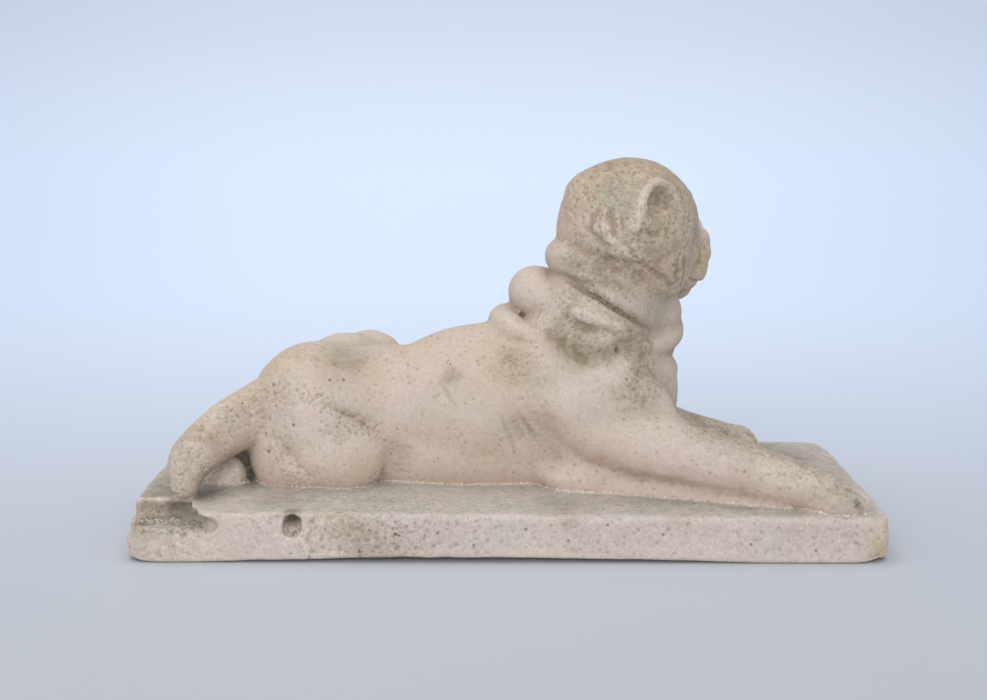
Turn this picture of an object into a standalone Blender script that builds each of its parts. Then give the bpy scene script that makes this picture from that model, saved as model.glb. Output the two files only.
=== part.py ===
"""A recumbent bulldog on a thin plinth, cast in one piece of stone.

The dog lies along +X with its head turned to its left. The figure is modelled like clay:
large masses are fused and softened, then smaller forms are added, and creases are carved last.
Its shapes are given in figure units: one unit is 1/213 of the figure's height above the plinth.
"""

import math

import bmesh
import bpy
import numpy as np
from mathutils import Matrix, Vector
from mathutils.bvhtree import BVHTree

# Driving dimensions, in metres.
FIGURE_HEIGHT = 0.213
BEDDING = 0.005
PLINTH_REAR_THICKNESS = 0.0325
PLINTH_FRONT_THICKNESS = 0.0285
PLINTH_TAIL_MARGIN = 0.0192
PLINTH_PAW_MARGIN = 0.0067
PLINTH_SIDE_MARGIN = 0.0110
PLINTH_FLARE = 0.0015
PLINTH_EDGE_ROUNDING = 0.003
PLINTH_CORNER_ROUNDING = 0.008
BREAK_LENGTH = 0.0334
BREAK_SLANT = 0.013
BREAK_DEPTH = 0.027
BREAK_DROP = 0.011
CAVE_SIZE = (0.020, 0.016, 0.010)
AIR_HOLE_DISTANCE = 0.1022
AIR_HOLE_WIDTH = 0.012
AIR_HOLE_HEIGHT = 0.014
AIR_HOLE_DROP = 0.007

# How finely the clay is worked, in metres, and the size of the finished figure.
MASS_GRAIN = 0.0026
FORM_GRAIN = 0.0020
CHIP_GRAIN = 0.0012
FIGURE_TRIANGLES = 8600

# The figure's proportions, as shares of its height, and how far its head is turned, in degrees.
TAIL_SHARE = 1.007
PAW_SHARE = 1.0751
SIDE_SHARE = 0.3803
SKULL_SHARE = 0.223
HEAD_TURN = 44.0

# The stone's look.
STONE_COLOUR = (0.52, 0.44, 0.36, 1.0)
STONE_ROUGHNESS = 0.92

# Shapes below are in figure units, with heights above the plinth's top.
FIGURE_UNITS = 213.0
UNIT = FIGURE_HEIGHT / FIGURE_UNITS
SKULL_CENTRE = (80.0, 5.0, 165.0)
PLINTH_LENGTH = (PAW_SHARE + TAIL_SHARE) * FIGURE_HEIGHT + PLINTH_TAIL_MARGIN + PLINTH_PAW_MARGIN
PLINTH_WIDTH = 2 * (SIDE_SHARE * FIGURE_HEIGHT + PLINTH_SIDE_MARGIN)
PLINTH_TOP = (PLINTH_REAR_THICKNESS + PLINTH_FRONT_THICKNESS) / 2
PAW_END = PLINTH_LENGTH / 2 - PLINTH_PAW_MARGIN
FIGURE_ORIGIN = Vector((PAW_END - PAW_SHARE * FIGURE_HEIGHT, 0.0, PLINTH_TOP))
HEAD = Matrix.Translation(SKULL_CENTRE) @ Matrix.Rotation(math.radians(HEAD_TURN), 4, "Z")


def clear_scene():
    """Removes everything the start-up file holds."""
    for obj in list(bpy.data.objects):
        bpy.data.objects.remove(obj)


def new_collection(name):
    """A collection of that name in the scene."""
    collection = bpy.data.collections.new(name)
    bpy.context.scene.collection.children.link(collection)
    return collection


def place(local):
    """The matrix that takes a shape from figure units to the object's own frame."""
    return Matrix.Translation(FIGURE_ORIGIN) @ Matrix.Scale(UNIT, 4) @ local


def ball(centre, radii, pitch=0.0, turn=0.0, lean=0.0, within=None):
    """An ellipsoid of clay. pitch tips its front down, turn swings it to its left, lean rolls it."""
    bpy.ops.mesh.primitive_uv_sphere_add(segments=28, ring_count=16, radius=1.0)
    obj = bpy.context.active_object
    size = Matrix.Diagonal((*radii, 1.0))
    swing = Matrix.Rotation(math.radians(turn), 4, "Z")
    tip = Matrix.Rotation(math.radians(pitch), 4, "Y")
    roll = Matrix.Rotation(math.radians(lean), 4, "X")
    local = Matrix.Translation(centre) @ swing @ tip @ roll @ size
    obj.data.transform(place((within or Matrix.Identity(4)) @ local))
    return [obj]


def limb(*stations, within=None):
    """A round strand of clay through stations of x, y, z and radius, with rounded ends."""
    curve = bpy.data.curves.new("limb", "CURVE")
    curve.dimensions = "3D"
    curve.bevel_depth = 1.0
    curve.bevel_resolution = 4
    curve.resolution_u = 8
    curve.use_fill_caps = True
    spline = curve.splines.new("BEZIER")
    spline.bezier_points.add(len(stations) - 1)
    for point, (x, y, z, radius) in zip(spline.bezier_points, stations):
        point.co = (x, y, z)
        point.radius = radius
        point.handle_left_type = "AUTO"
        point.handle_right_type = "AUTO"
    guide = bpy.data.objects.new("limb", curve)
    bpy.context.scene.collection.objects.link(guide)
    obj = mesh_of(guide)
    obj.data.transform(place(within or Matrix.Identity(4)))
    ends = [ball(s[:3], (s[3],) * 3, within=within)[0] for s in (stations[0], stations[-1])]
    return [obj, *ends]


def mesh_of(obj):
    """Turns an object into a plain mesh of its evaluated shape, and removes the original."""
    graph = bpy.context.evaluated_depsgraph_get()
    mesh = bpy.data.meshes.new_from_object(obj.evaluated_get(graph))
    made = bpy.data.objects.new(obj.name, mesh)
    bpy.context.scene.collection.objects.link(made)
    bpy.data.objects.remove(obj)
    return made


def fuse(name, pieces, grain, rounds):
    """One closed skin round all the pieces, remeshed at the grain and softened that many rounds."""
    bpy.ops.object.select_all(action="DESELECT")
    for piece in pieces:
        piece.select_set(True)
    obj = pieces[0]
    bpy.context.view_layer.objects.active = obj
    if len(pieces) > 1:
        bpy.ops.object.join()
    obj.name = name
    remesh = obj.modifiers.new("Skin", "REMESH")
    remesh.mode = "VOXEL"
    remesh.voxel_size = grain
    soften = obj.modifiers.new("Soften", "SMOOTH")
    soften.factor = 0.5
    soften.iterations = rounds
    return mesh_of(obj)


def thin(obj, triangles):
    """Keeps about that many triangles, where the shape needs them most."""
    obj.data.calc_loop_triangles()
    decimate = obj.modifiers.new("Thin", "DECIMATE")
    decimate.ratio = triangles / len(obj.data.loop_triangles)
    decimate.use_collapse_triangulate = True
    return mesh_of(obj)


def curve_through(points, step):
    """Points about a step apart on a Catmull-Rom curve through the given ones."""
    knots = [Vector(p) for p in points]
    knots = [2 * knots[0] - knots[1], *knots, 2 * knots[-1] - knots[-2]]
    made = []
    for a, b, c, d in zip(knots, knots[1:], knots[2:], knots[3:]):
        count = max(1, round((c - b).length / step))
        for i in range(count):
            t = i / count
            bend = (2 * a - 5 * b + 4 * c - d) * t**2 + (3 * b - a - 3 * c + d) * t**3
            made.append(b + (c - a) * t / 2 + bend / 2)
    return [*made, knots[-2]]


def drawn(tree, points, within=None, step=2.0):
    """A line on the clay: a smooth line through the points, moved to the nearest surface."""
    frame = place(within or Matrix.Identity(4))
    path = curve_through(points, step) if len(points) > 1 else [Vector(points[0])]
    return np.array([tree.find_nearest(frame @ point)[0] for point in path])


def carve(obj, strokes):
    """Presses each stroke into the clay, or raises it where its depth is negative.

    A stroke is (line, width, depth): the line drawn on the clay, and the sizes in figure units.
    """
    mesh = obj.data
    count = len(mesh.vertices)
    points = np.empty(count * 3)
    normals = np.empty(count * 3)
    mesh.vertices.foreach_get("co", points)
    mesh.vertices.foreach_get("normal", normals)
    points = points.reshape(-1, 3)
    normals = normals.reshape(-1, 3)
    sunk = np.zeros(count)
    for line, width, depth in strokes:
        if len(line) < 1:
            continue
        near = np.full(count, np.inf)
        along = np.zeros(count)
        for i, spot in enumerate(line):
            gap = ((points - spot) ** 2).sum(axis=1)
            closer = gap < near
            near[closer] = gap[closer]
            along[closer] = i / max(1, len(line) - 1)
        ends = np.ones(count) if len(line) == 1 else np.sin(np.pi * np.clip(along, 0.04, 0.96)) ** 0.5
        sunk += depth * UNIT * ends * np.exp(-near / (width * UNIT) ** 2)
    points -= normals * sunk[:, None]
    mesh.vertices.foreach_set("co", points.ravel())
    mesh.update()


def tree_of(obj):
    """A search tree of the object's faces."""
    graph = bpy.context.evaluated_depsgraph_get()
    return BVHTree.FromObject(obj, graph)


def torso():
    """Ribcage, belly, pelvis, chest, shoulders, neck and throat."""
    return [
        *ball((-5, 4, 48), (86, 43, 55)),
        *ball((-24, 2, 18), (104, 36, 36)),
        *ball((-80, 4, 43), (56, 38, 45)),
        *ball((-124, 0, 46), (47, 41, 45)),
        *ball((-158, 12, 18), (32, 27, 34)),
        *ball((58, 5, 58), (59, 44, 55)),
        *ball((76, 5, 34), (41, 36, 42)),
        *ball((56, -20, 56), (42, 25, 46), pitch=10),
        *ball((56, 29, 56), (42, 25, 46), pitch=10),
        *limb((46, 5, 74, 46), (58, 5, 102, 43), (68, 5, 122, 41), (78, 5, 150, 38)),
        *ball((92, 16, 108), (27, 27, 24)),
        *ball((50, 30, 100), (42, 27, 40)),
        *ball((84, 24, 84), (27, 27, 28)),
    ]


def haunches():
    """The near hind leg folded along the plinth, and the far knee drawn up."""
    return [
        *ball((-122, -18, 42), (46, 27, 42), pitch=14),
        *ball((-108, -28, 22), (33, 20, 28), pitch=6),
        *ball((-148, -20, 22), (22, 22, 32)),
        *ball((-111, 34, 50), (38, 22, 41), pitch=8),
    ]


def upper_forelegs():
    """Elbows and the heavy upper parts of the forelegs."""
    return [
        *ball((60, -30, 6), (38, 18, 15)),
        *limb((56, -33, 3, 12.5), (92, -43, 2, 11.5), (130, -53, 1, 10), (174, -66, 0, 10)),
        *ball((68, -24, 48), (46, 23, 36), pitch=20, turn=-8),
        *limb((62, -25, 34, 25), (94, -36, 29, 24), (126, -45, 23, 21)),
        *ball((32, 38, 9), (34, 15, 17)),
        *limb((34, 42, 6, 12), (84, 47, 5, 10), (140, 55, 3, 8)),
    ]


def skull():
    """The cranium, squared a little at the back of the crown."""
    radius = SKULL_SHARE * FIGURE_UNITS
    return [
        *ball((0, 0, 0), (radius, radius, radius), within=HEAD),
        *ball((-22, 7, 19), (23, 24, 23), within=HEAD),
    ]


def near_foreleg():
    """The foreleg towards the viewer, stretched to the plinth's corner."""
    return [
        *limb((90, -38, 28, 22), (126, -47, 22, 20.5), (163, -59, 16, 17), (197, -71, 9, 13.5)),
        *ball((206, -74, 4), (22, 14.5, 13), turn=-8, pitch=8),
    ]


def far_foreleg():
    """The other foreleg, which reaches less far."""
    return [
        *limb((56, 38, 30, 23), (96, 45, 24, 20), (130, 52, 15, 15), (158, 55, 9, 12.5)),
        *ball((165, 57, 6), (18, 14.5, 14), turn=4, pitch=4),
    ]


def far_hind_leg():
    """The drawn-up knee, the shin and the foot on the far side."""
    return [
        *ball((-94.5, 45, 66.5), (25, 17, 23.5)),
        *limb((-84, 50, 60, 14), (-97, 55, 36, 13), (-112, 57, 14, 14)),
        *limb((-118, 54, 8, 15), (-92, 59, 6, 12), (-66, 63, 4, 11)),
        *ball((-56, 64, 4), (16, 13.5, 12)),
    ]


def tail():
    """The tail hangs from the rump and rests on the plinth's near rear corner."""
    return [
        *limb(
            (-139, -6, 51, 26.5), (-166, -18, 45.5, 21), (-188, -38, 34, 17),
            (-201.5, -53, 21, 14.5), (-203, -61, 9.5, 9.5),
        ),
        *ball((-182, -27, 6), (10, 9, 12), pitch=10),
    ]


def neck_folds():
    """Rolls of loose skin, bunched on the side the head turns to."""
    return [
        *limb(
            (94, -14, 114, 6), (82, -24, 128, 6.5), (64, -28, 139, 8), (44, -21, 147, 10),
            (38, 4, 147, 12.5), (46, 36, 143, 12), (76, 50, 131, 10), (100, 44, 119, 8),
        ),
        *limb(
            (42, -12, 115, 8), (27, -3, 120, 13), (18.5, 14, 122, 17.5), (31, 40, 119, 15),
            (62, 53, 108, 12), (96, 42, 100, 11.5), (108.5, 17, 96.5, 12), (102, -8, 92, 8), (88, -20, 92, 5),
        ),
        *limb(
            (18, -18, 98, 5), (3, -4, 101, 10), (0, 20, 102, 11.5), (18, 45, 94, 11),
            (62, 54, 82, 10), (96, 40, 73, 10), (106, 15, 69, 11.5), (100, -8, 67, 8), (88, -20, 66, 5),
        ),
        *ball((104, 15, 84), (10.5, 15, 9)),
    ]


def face():
    """Short broad muzzle, flews, chin, nose, cheeks, brows and eyes, in the head's own frame."""
    forms = [
        *ball((28, 0, -10), (26, 27, 25), within=HEAD),
        *ball((44, -2, -42), (14, 15, 10), within=HEAD),
        *ball((60, 0, -3), (9.5, 14, 10), within=HEAD),
        *limb(
            (24, -35, -16, 5), (38, -24, 0, 6), (46, -13, 8, 6), (49, 0, 11, 6),
            (46, 13, 8, 6), (38, 24, 0, 6), (24, 35, -16, 5), within=HEAD,
        ),
    ]
    for side in (-1, 1):
        forms += ball((46, side * 12, -11), (19, 13.5, 13.5), turn=side * 10, within=HEAD)
        forms += ball((40, side * 18, -25), (16, 11.5, 18), turn=side * 16, within=HEAD)
        forms += ball((4, side * 29, -14), (25, 18, 29), turn=side * -8, within=HEAD)
        forms += ball((25, side * 17, 21.5), (13, 14, 6.5), turn=side * 20, within=HEAD)
    return forms


def ears():
    """Small folded ears, high on the sides of the skull."""
    near = (
        (-32, -34, 5, 4.4), (-29, -34.8, 14.8, 4.8), (-22, -33.6, 26, 4.8), (-11, -33.8, 32, 4.6),
        (-2.5, -38.4, 27, 3.8), (0, -42, 17, 3),
    )
    far = (
        (-21, 33, 4, 6), (-18, 35, 14, 5), (-13, 35, 24, 4.6), (-4, 35.5, 29.5, 4.6), (7, 38, 25, 4.2),
        (12, 40, 16, 3.4),
    )
    forms = [*limb(*near, within=HEAD), *limb(*far, within=HEAD)]
    forms += ball((-27, -36, 8), (8.5, 4.5, 6.5), turn=-30, within=HEAD)
    return forms


# Creases and hollows as points near the clay, a width and a depth, in figure units.
BODY_STROKES = [
    ([(-120, -41, 62), (-110, -40, 54), (-97, -36, 47), (-86, -33, 37), (-78, -33, 25), (-77, -32, 16)], 5, 2.4),
    ([(-144, -40, 31), (-140, -38, 25), (-133, -37, 18), (-127, -39, 12), (-122, -40, 6)], 5, 2.0),
    ([(-66, -30, 30), (-68, -30, 18), (-70, -30, 6)], 8, 2.5),
    ([(-2, -38, 34), (8, -38, 38), (18, -38, 44)], 13, 4.0),
    ([(-36, -36, 66), (-42, -36, 62)], 9, 1.5),
    ([(-14, -34, 84), (-4, -36, 74), (8, -38, 66)], 8, 1.8),
    ([(27, -35, 43), (32, -36, 35), (39, -37, 29), (48, -41, 23), (60, -45, 19), (85, -51, 13), (122, -60, 11),
      (147, -66, 10)], 6, 1.4),
    ([(33, -14, 137), (42, -24, 134), (50, -31, 129), (60, -31, 124), (69, -32, 118), (79, -30, 112),
      (89, -26, 105), (97, -19, 99)], 3.0, 4.4),
    ([(42, -30, 138), (52, -36, 135), (62, -36, 130), (73, -34, 124), (84, -30, 117), (94, -24, 110)], 4.0, -1.8),
    ([(31, -25, 146), (44, -35, 143), (53, -40, 141), (65, -40, 136), (78, -36, 129), (91, -28, 121)], 2.8, 2.0),
    ([(44, -33, 117), (53, -36, 115), (63, -37, 110), (71, -36, 106), (81, -31, 102)], 5, -2.0),
    ([(38, -30, 113), (44, -32, 109), (52, -34, 106), (60, -36, 105), (68, -36, 104)], 3.4, 2.8),
    ([(44, -39, 100), (53, -41, 98), (63, -40, 98), (71, -35, 98)], 6, -2.4),
    ([(30, -29, 104), (32, -32, 99), (36, -34, 94), (44, -37, 89), (53, -38, 85), (63, -36, 87), (71, -34, 92),
      (79, -31, 94)], 4.2, 2.6),
    ([(82, -38, 76), (92, -30, 78), (100, -22, 74)], 4, 2.0),
    ([(9, -12, 110), (8, -13, 109)], 4, 4.0),
    ([(-90, 40, 30), (-78, 44, 44), (-72, 42, 60)], 7, 4.0),
    ([(-128, 40, 40), (-116, 48, 30), (-106, 52, 22)], 6, 3.5),
    ([(4, 42, 38), (14, 44, 42), (22, 44, 46)], 11, 4.0),
    ([(26, 44, 44), (36, 50, 32), (52, 56, 22), (80, 60, 16), (110, 62, 12)], 5, 3.0),
    ([(60, 5, 30), (118, 5, 58), (114, 5, 84)], 7, 1.5),
]
HEAD_STROKES = [
    ([(-60, 8, -17), (-58, -8, -17), (-50, -22, -19), (-44, -30, -22), (-34, -36, -27), (-24, -40, -36)], 4, 2.5),
    ([(20, -36, 4), (18, -40, -10), (17, -41, -24), (16, -40, -38)], 6, 4.0),
    ([(20, 36, 4), (18, 40, -10), (17, 41, -24), (16, 40, -38)], 6, 4.0),
    ([(-20, -40, 13), (-15, -40, 22), (-8, -41, 15)], 8.5, 5.0),
    ([(-8, 38, 13), (-3, 39, 22), (4, 40, 15)], 8.0, 7.0),
    ([(-42, -12, 19), (-45, -9, 10), (-46, -6, 0)], 2.6, 1.5),
    ([(-39, -19, 16), (-41, -21, 9), (-40, -24, 0)], 2.6, 1.8),
    ([(-46, -3, 6), (-44, -15, -3), (-40, -23, -8)], 2.6, 1.5),
    ([(45, 0, 17), (40, 0, 26), (30, 0, 37), (18, 0, 45)], 5, 3.5),
    ([(68, 0, -8), (66, 0, -14), (64, 0, -22), (60, 0, -30)], 2.8, 3.0),
    ([(24, -31, -42), (38, -28, -45), (52, -18, -37), (58, 0, -33), (52, 18, -37), (38, 28, -45), (24, 31, -42)],
     3, 2.5),
    ([(34, -28, -2), (48, -18, -1), (56, -12, 6), (58, 0, 10), (56, 12, 6), (48, 18, -1), (34, 28, -2)], 3, 3.0),
    ([(30, -32, 2), (42, -20, 9), (50, -8, 16), (52, 0, 18), (50, 8, 16), (42, 20, 9), (30, 32, 2)], 3.5, 2.5),
    ([(42, -19, 13)], 8, 6.5),
    ([(42, 19, 13)], 8, 6.5),
    ([(42, -19, 12)], 3.8, -5.5),
    ([(42, 19, 12)], 3.8, -5.5),
    ([(24, -24, 34), (36, -14, 33)], 3.0, 1.8),
    ([(24, 24, 34), (36, 14, 33)], 3.0, 1.8),
    ([(68, -5, 1), (66, -10, -1)], 2.8, 4.0),
    ([(68, 5, 1), (66, 10, -1)], 2.8, 4.0),
]


def toes():
    """Grooves between the toes of the feet, as strokes."""
    strokes = []
    for heel, across, spread in (
        ((206, -74, 13), Vector((0.1, 1, 0)), 7.5),
        ((165, 57, 14), Vector((-0.05, 1, 0)), 7.5),
        ((-56, 64, 12), Vector((0, 1, 0)), 7.0),
    ):
        for i in (-1, 0, 1):
            root = Vector(heel) + across * spread * i
            tip = root + Vector((20, 0, -9))
            strokes.append(([root + Vector((4, 0, 4)), root + Vector((13, 0, 0)), tip], 2.6, 3.0))
    return strokes


def build_figure():
    """The whole dog: masses, then forms, then carved creases, thinned to the triangle budget."""
    masses = [*torso(), *haunches(), *upper_forelegs(), *skull()]
    clay = fuse("masses", masses, MASS_GRAIN, 20)
    forms = [
        *near_foreleg(), *far_foreleg(), *far_hind_leg(), *tail(), *neck_folds(), *face(), *ears(),
    ]
    clay = fuse("forms", [clay, *forms], FORM_GRAIN, 6)
    tree = tree_of(clay)
    strokes = [(drawn(tree, points), width, depth) for points, width, depth in BODY_STROKES + toes()]
    strokes += [(drawn(tree, points, HEAD), width, depth) for points, width, depth in HEAD_STROKES]
    carve(clay, strokes)
    bpy.ops.mesh.primitive_cube_add(size=1.0)
    above = bpy.context.active_object
    reach = 2 * PLINTH_LENGTH
    above.data.transform(Matrix.Translation((0, 0, reach / 2 + PLINTH_TOP - BEDDING)) @ Matrix.Scale(reach, 4))
    figure = combine(clay, above, "INTERSECT")
    return thin(figure, FIGURE_TRIANGLES)


def combine(obj, other, operation):
    """Joins, intersects or cuts two solids exactly, and removes the other one."""
    boolean = obj.modifiers.new("Combine", "BOOLEAN")
    boolean.object = other
    boolean.operation = operation
    boolean.solver = "EXACT"
    made = mesh_of(obj)
    bpy.data.objects.remove(other)
    return made


def plinth():
    """The plinth, flared at its foot and a little thinner at the paws' end, with worn edges."""
    bpy.ops.mesh.primitive_cube_add(size=1.0)
    obj = bpy.context.active_object
    obj.name = "plinth"
    half = Matrix.Translation((0, 0, 0.5))
    obj.data.transform(Matrix.Diagonal((PLINTH_LENGTH, PLINTH_WIDTH, PLINTH_TOP, 1)) @ half)
    for vertex in obj.data.vertices:
        if vertex.co.z > PLINTH_TOP / 2:
            vertex.co.z = PLINTH_REAR_THICKNESS if vertex.co.x < 0 else PLINTH_FRONT_THICKNESS
        else:
            vertex.co.x += math.copysign(PLINTH_FLARE, vertex.co.x)
            vertex.co.y += math.copysign(PLINTH_FLARE, vertex.co.y)
    mesh = bmesh.new()
    mesh.from_mesh(obj.data)
    upright = [e for e in mesh.edges if abs(e.verts[0].co.z - e.verts[1].co.z) > PLINTH_TOP / 2]
    bmesh.ops.bevel(
        mesh, geom=upright, offset=PLINTH_CORNER_ROUNDING, segments=4, profile=0.5, affect="EDGES"
    )
    rims = [e for e in mesh.edges if e.calc_face_angle(0) > math.radians(60)]
    bmesh.ops.bevel(mesh, geom=rims, offset=PLINTH_EDGE_ROUNDING, segments=2, profile=0.5, affect="EDGES")
    mesh.to_mesh(obj.data)
    mesh.free()
    return obj


def lump(centre, size):
    """A round cutter of that full size at a place in the object's own frame."""
    bpy.ops.mesh.primitive_uv_sphere_add(segments=28, ring_count=16, radius=0.5)
    obj = bpy.context.active_object
    obj.data.transform(Matrix.Translation(centre) @ Matrix.Diagonal((*size, 1.0)))
    return obj


def wedge(end, face):
    """The cutter of the broken corner: a block with one slanting side, from its floor to above the top."""
    bpy.ops.mesh.primitive_cube_add(size=1.0)
    obj = bpy.context.active_object
    for vertex in obj.data.vertices:
        front = vertex.co.y < 0
        side = BREAK_LENGTH + (BREAK_SLANT if front else 0.0)
        vertex.co.x = end + (side if vertex.co.x > 0 else -BREAK_SLANT)
        vertex.co.y = face - PLINTH_FLARE if front else -PLINTH_WIDTH / 2 + BREAK_DEPTH
        vertex.co.z = PLINTH_REAR_THICKNESS + (BREAK_DROP if vertex.co.z > 0 else -BREAK_DROP)
    return obj


def chipped(base):
    """Breaks off the plinth's near rear corner and opens the air hole in the near side."""
    end = -PLINTH_LENGTH / 2
    face = -PLINTH_WIDTH / 2 - PLINTH_FLARE / 2
    hollow = fuse("hollow", [
        wedge(end, face),
        lump((end + BREAK_LENGTH + BREAK_SLANT, face, PLINTH_REAR_THICKNESS - 0.8 * BREAK_DROP), CAVE_SIZE),
    ], CHIP_GRAIN, 2)
    hole = lump(
        (end + AIR_HOLE_DISTANCE, face, PLINTH_TOP - AIR_HOLE_DROP),
        (AIR_HOLE_WIDTH, AIR_HOLE_WIDTH, AIR_HOLE_HEIGHT),
    )
    hole = fuse("air_hole", [hole], CHIP_GRAIN, 1)
    for cutter, triangles in ((hollow, 260), (hole, 80)):
        base = combine(base, thin(cutter, triangles), "DIFFERENCE")
    return base


def main():
    """Builds the statue."""
    clear_scene()
    collection = new_collection("bulldog_statue")
    statue = combine(build_figure(), chipped(plinth()), "UNION")
    statue.name = "bulldog_statue"
    statue.data.name = "bulldog_statue"
    stone = bpy.data.materials.new("cast_stone")
    stone.use_nodes = True
    shader = stone.node_tree.nodes["Principled BSDF"]
    shader.inputs["Base Color"].default_value = STONE_COLOUR
    shader.inputs["Roughness"].default_value = STONE_ROUGHNESS
    shader.inputs["Metallic"].default_value = 0.0
    statue.data.materials.clear()
    statue.data.materials.append(stone)
    for face in statue.data.polygons:
        face.use_smooth = False
    bpy.context.scene.collection.objects.unlink(statue)
    collection.objects.link(statue)


main()
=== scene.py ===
"""Dresses the recumbent bulldog statue: a worn cast-stone figure on its thin plinth.

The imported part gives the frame. The figure and the plinth are modelled again at a finer grain:
large masses of clay are fused and softened, smaller forms are added, creases are pressed in, and
the skin is then eroded, pitted and stained.

Places on the figure are in figure units: one unit is 1/213 of the figure's height, X runs from
tail to paws, the viewer stands at -Y, and heights are above the plinth's top.
"""

import logging
import math
from dataclasses import dataclass, field
from enum import Enum
from itertools import product
from typing import Optional, Sequence, Union

import bpy
import numpy as np
from mathutils import Matrix, Vector
from mathutils.bvhtree import BVHTree
from mathutils.kdtree import KDTree

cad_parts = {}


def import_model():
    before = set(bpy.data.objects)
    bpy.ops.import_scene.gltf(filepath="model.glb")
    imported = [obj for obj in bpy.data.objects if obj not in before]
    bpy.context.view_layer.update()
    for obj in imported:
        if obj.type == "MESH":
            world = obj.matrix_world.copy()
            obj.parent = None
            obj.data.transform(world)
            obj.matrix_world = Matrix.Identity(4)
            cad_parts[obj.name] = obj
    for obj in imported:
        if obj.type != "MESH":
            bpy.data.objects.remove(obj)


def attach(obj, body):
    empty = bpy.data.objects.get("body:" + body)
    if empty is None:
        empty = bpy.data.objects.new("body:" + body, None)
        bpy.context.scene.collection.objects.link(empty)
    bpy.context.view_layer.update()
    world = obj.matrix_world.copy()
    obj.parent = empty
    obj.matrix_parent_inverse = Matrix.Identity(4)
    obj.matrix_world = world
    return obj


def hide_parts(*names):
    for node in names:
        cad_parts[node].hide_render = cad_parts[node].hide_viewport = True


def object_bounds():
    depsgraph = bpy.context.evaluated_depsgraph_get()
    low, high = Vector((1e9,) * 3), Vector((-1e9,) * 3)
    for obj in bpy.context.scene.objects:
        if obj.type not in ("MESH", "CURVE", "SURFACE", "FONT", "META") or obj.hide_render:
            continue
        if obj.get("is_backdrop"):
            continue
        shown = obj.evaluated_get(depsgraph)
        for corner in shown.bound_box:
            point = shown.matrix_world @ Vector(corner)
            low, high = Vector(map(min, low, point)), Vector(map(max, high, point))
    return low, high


log = logging.getLogger("bulldog")

Point = tuple[float, float, float]
Station = tuple[float, float, float, float]
Colour = tuple[float, float, float, float]
Objects = list[bpy.types.Object]
Socket = bpy.types.NodeSocket
Feed = Union[float, Colour, Point, Socket]

NODE = "bulldog_statue"
BODY = "root"
MILLIMETRE = 0.001
FACING_UP = 0.6
PORE_DEPTH = 0.10 * MILLIMETRE
HOLLOW_DEPTH = 0.85 * MILLIMETRE
RIDGE_HEIGHT = 0.70 * MILLIMETRE
STROKE_REACH = 3.2

# The statue's own sizes, as in the part's source, in metres.
FIGURE_HEIGHT = 0.213
UNIT = FIGURE_HEIGHT / 213.0
PLINTH_TOP = 0.0305
PLINTH_LENGTH = 0.46939
PLINTH_WIDTH = 0.18401
FIGURE_ORIGIN = Vector((-0.0010, 0.0, PLINTH_TOP))

# The plinth's near face, in figure units.
FACE = -PLINTH_WIDTH / 2 / UNIT - 1.0


class Side(Enum):
    """The side of the head, seen from behind it."""

    NEAR = -1
    FAR = 1


class Profile(Enum):
    """How the clay falls away from the middle of a stroke."""

    SOFT = "soft"
    SHARP = "sharp"
    CUT = "cut"


class Trace(Enum):
    """What weather and earth have left on the stone, and the shade painted onto it."""

    DIRT = "dirt"
    ALGAE = "algae"
    OCHRE = "ochre"
    # Rosy stone, and painted pink shade along creases.
    BLUSH_AND_SHADE = "blush_and_shade"
    PALE = "pale"
    # Painted shade in holes, hollows, under the tail and between pebbles.
    DARK = "dark"
    ROUGH = "rough"


@dataclass(frozen=True)
class Stroke:
    """A line pressed into the clay, or raised from it where its depth is negative.

    Points are near the clay, and width and depth are in figure units.
    """

    points: tuple[Point, ...]
    width: float
    depth: float
    profile: Profile = Profile.SOFT
    ragged: float = 0.0


@dataclass(frozen=True)
class Spot:
    """A place that carries a trace, in figure units, and how strongly it does."""

    trace: Trace
    centre: Point
    reach: float
    strength: float = 1.0


# ---------------------------------------------------------------- modelling tools


def select_only(objects: Sequence[bpy.types.Object]) -> None:
    """Selects these objects alone, and makes the first one active.

    Args:
        objects: The objects to select.
    """
    bpy.ops.object.select_all(action="DESELECT")
    for obj in objects:
        obj.select_set(True)
    bpy.context.view_layer.objects.active = objects[0]


def apply_modifier(obj: bpy.types.Object, kind: str, **settings: object) -> None:
    """Adds a modifier with its settings and applies it.

    Args:
        obj: The object that is changed.
        kind: The modifier's type.
        **settings: The modifier's properties.
    """
    select_only([obj])
    modifier = obj.modifiers.new(kind, kind)
    for name, value in settings.items():
        setattr(modifier, name, value)
    bpy.ops.object.modifier_apply(modifier=modifier.name)


def to_frame(local: Optional[Matrix] = None) -> Matrix:
    """The matrix from figure units, or from a frame within them, to the object's frame."""
    return Matrix.Translation(FIGURE_ORIGIN) @ Matrix.Scale(UNIT, 4) @ (local or Matrix.Identity(4))


def ball(
    centre: Point,
    radii: Point,
    pitch: float = 0.0,
    turn: float = 0.0,
    lean: float = 0.0,
    within: Optional[Matrix] = None,
) -> Objects:
    """Adds an ellipsoid of clay.

    Args:
        centre: Its middle.
        radii: Its half sizes before it is turned.
        pitch: How far its front tips down, in degrees.
        turn: How far it swings to its left, in degrees.
        lean: How far it rolls, in degrees.
        within: The frame that it is given in.

    Returns:
        The new object, in a list.
    """
    bpy.ops.mesh.primitive_uv_sphere_add(segments=32, ring_count=18, radius=1.0)
    obj = bpy.context.active_object
    turned = (
        Matrix.Rotation(math.radians(turn), 4, "Z")
        @ Matrix.Rotation(math.radians(pitch), 4, "Y")
        @ Matrix.Rotation(math.radians(lean), 4, "X")
    )
    shape = Matrix.Translation(centre) @ turned @ Matrix.Diagonal((*radii, 1.0))
    obj.data.transform(to_frame(within) @ shape)
    return [obj]


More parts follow.
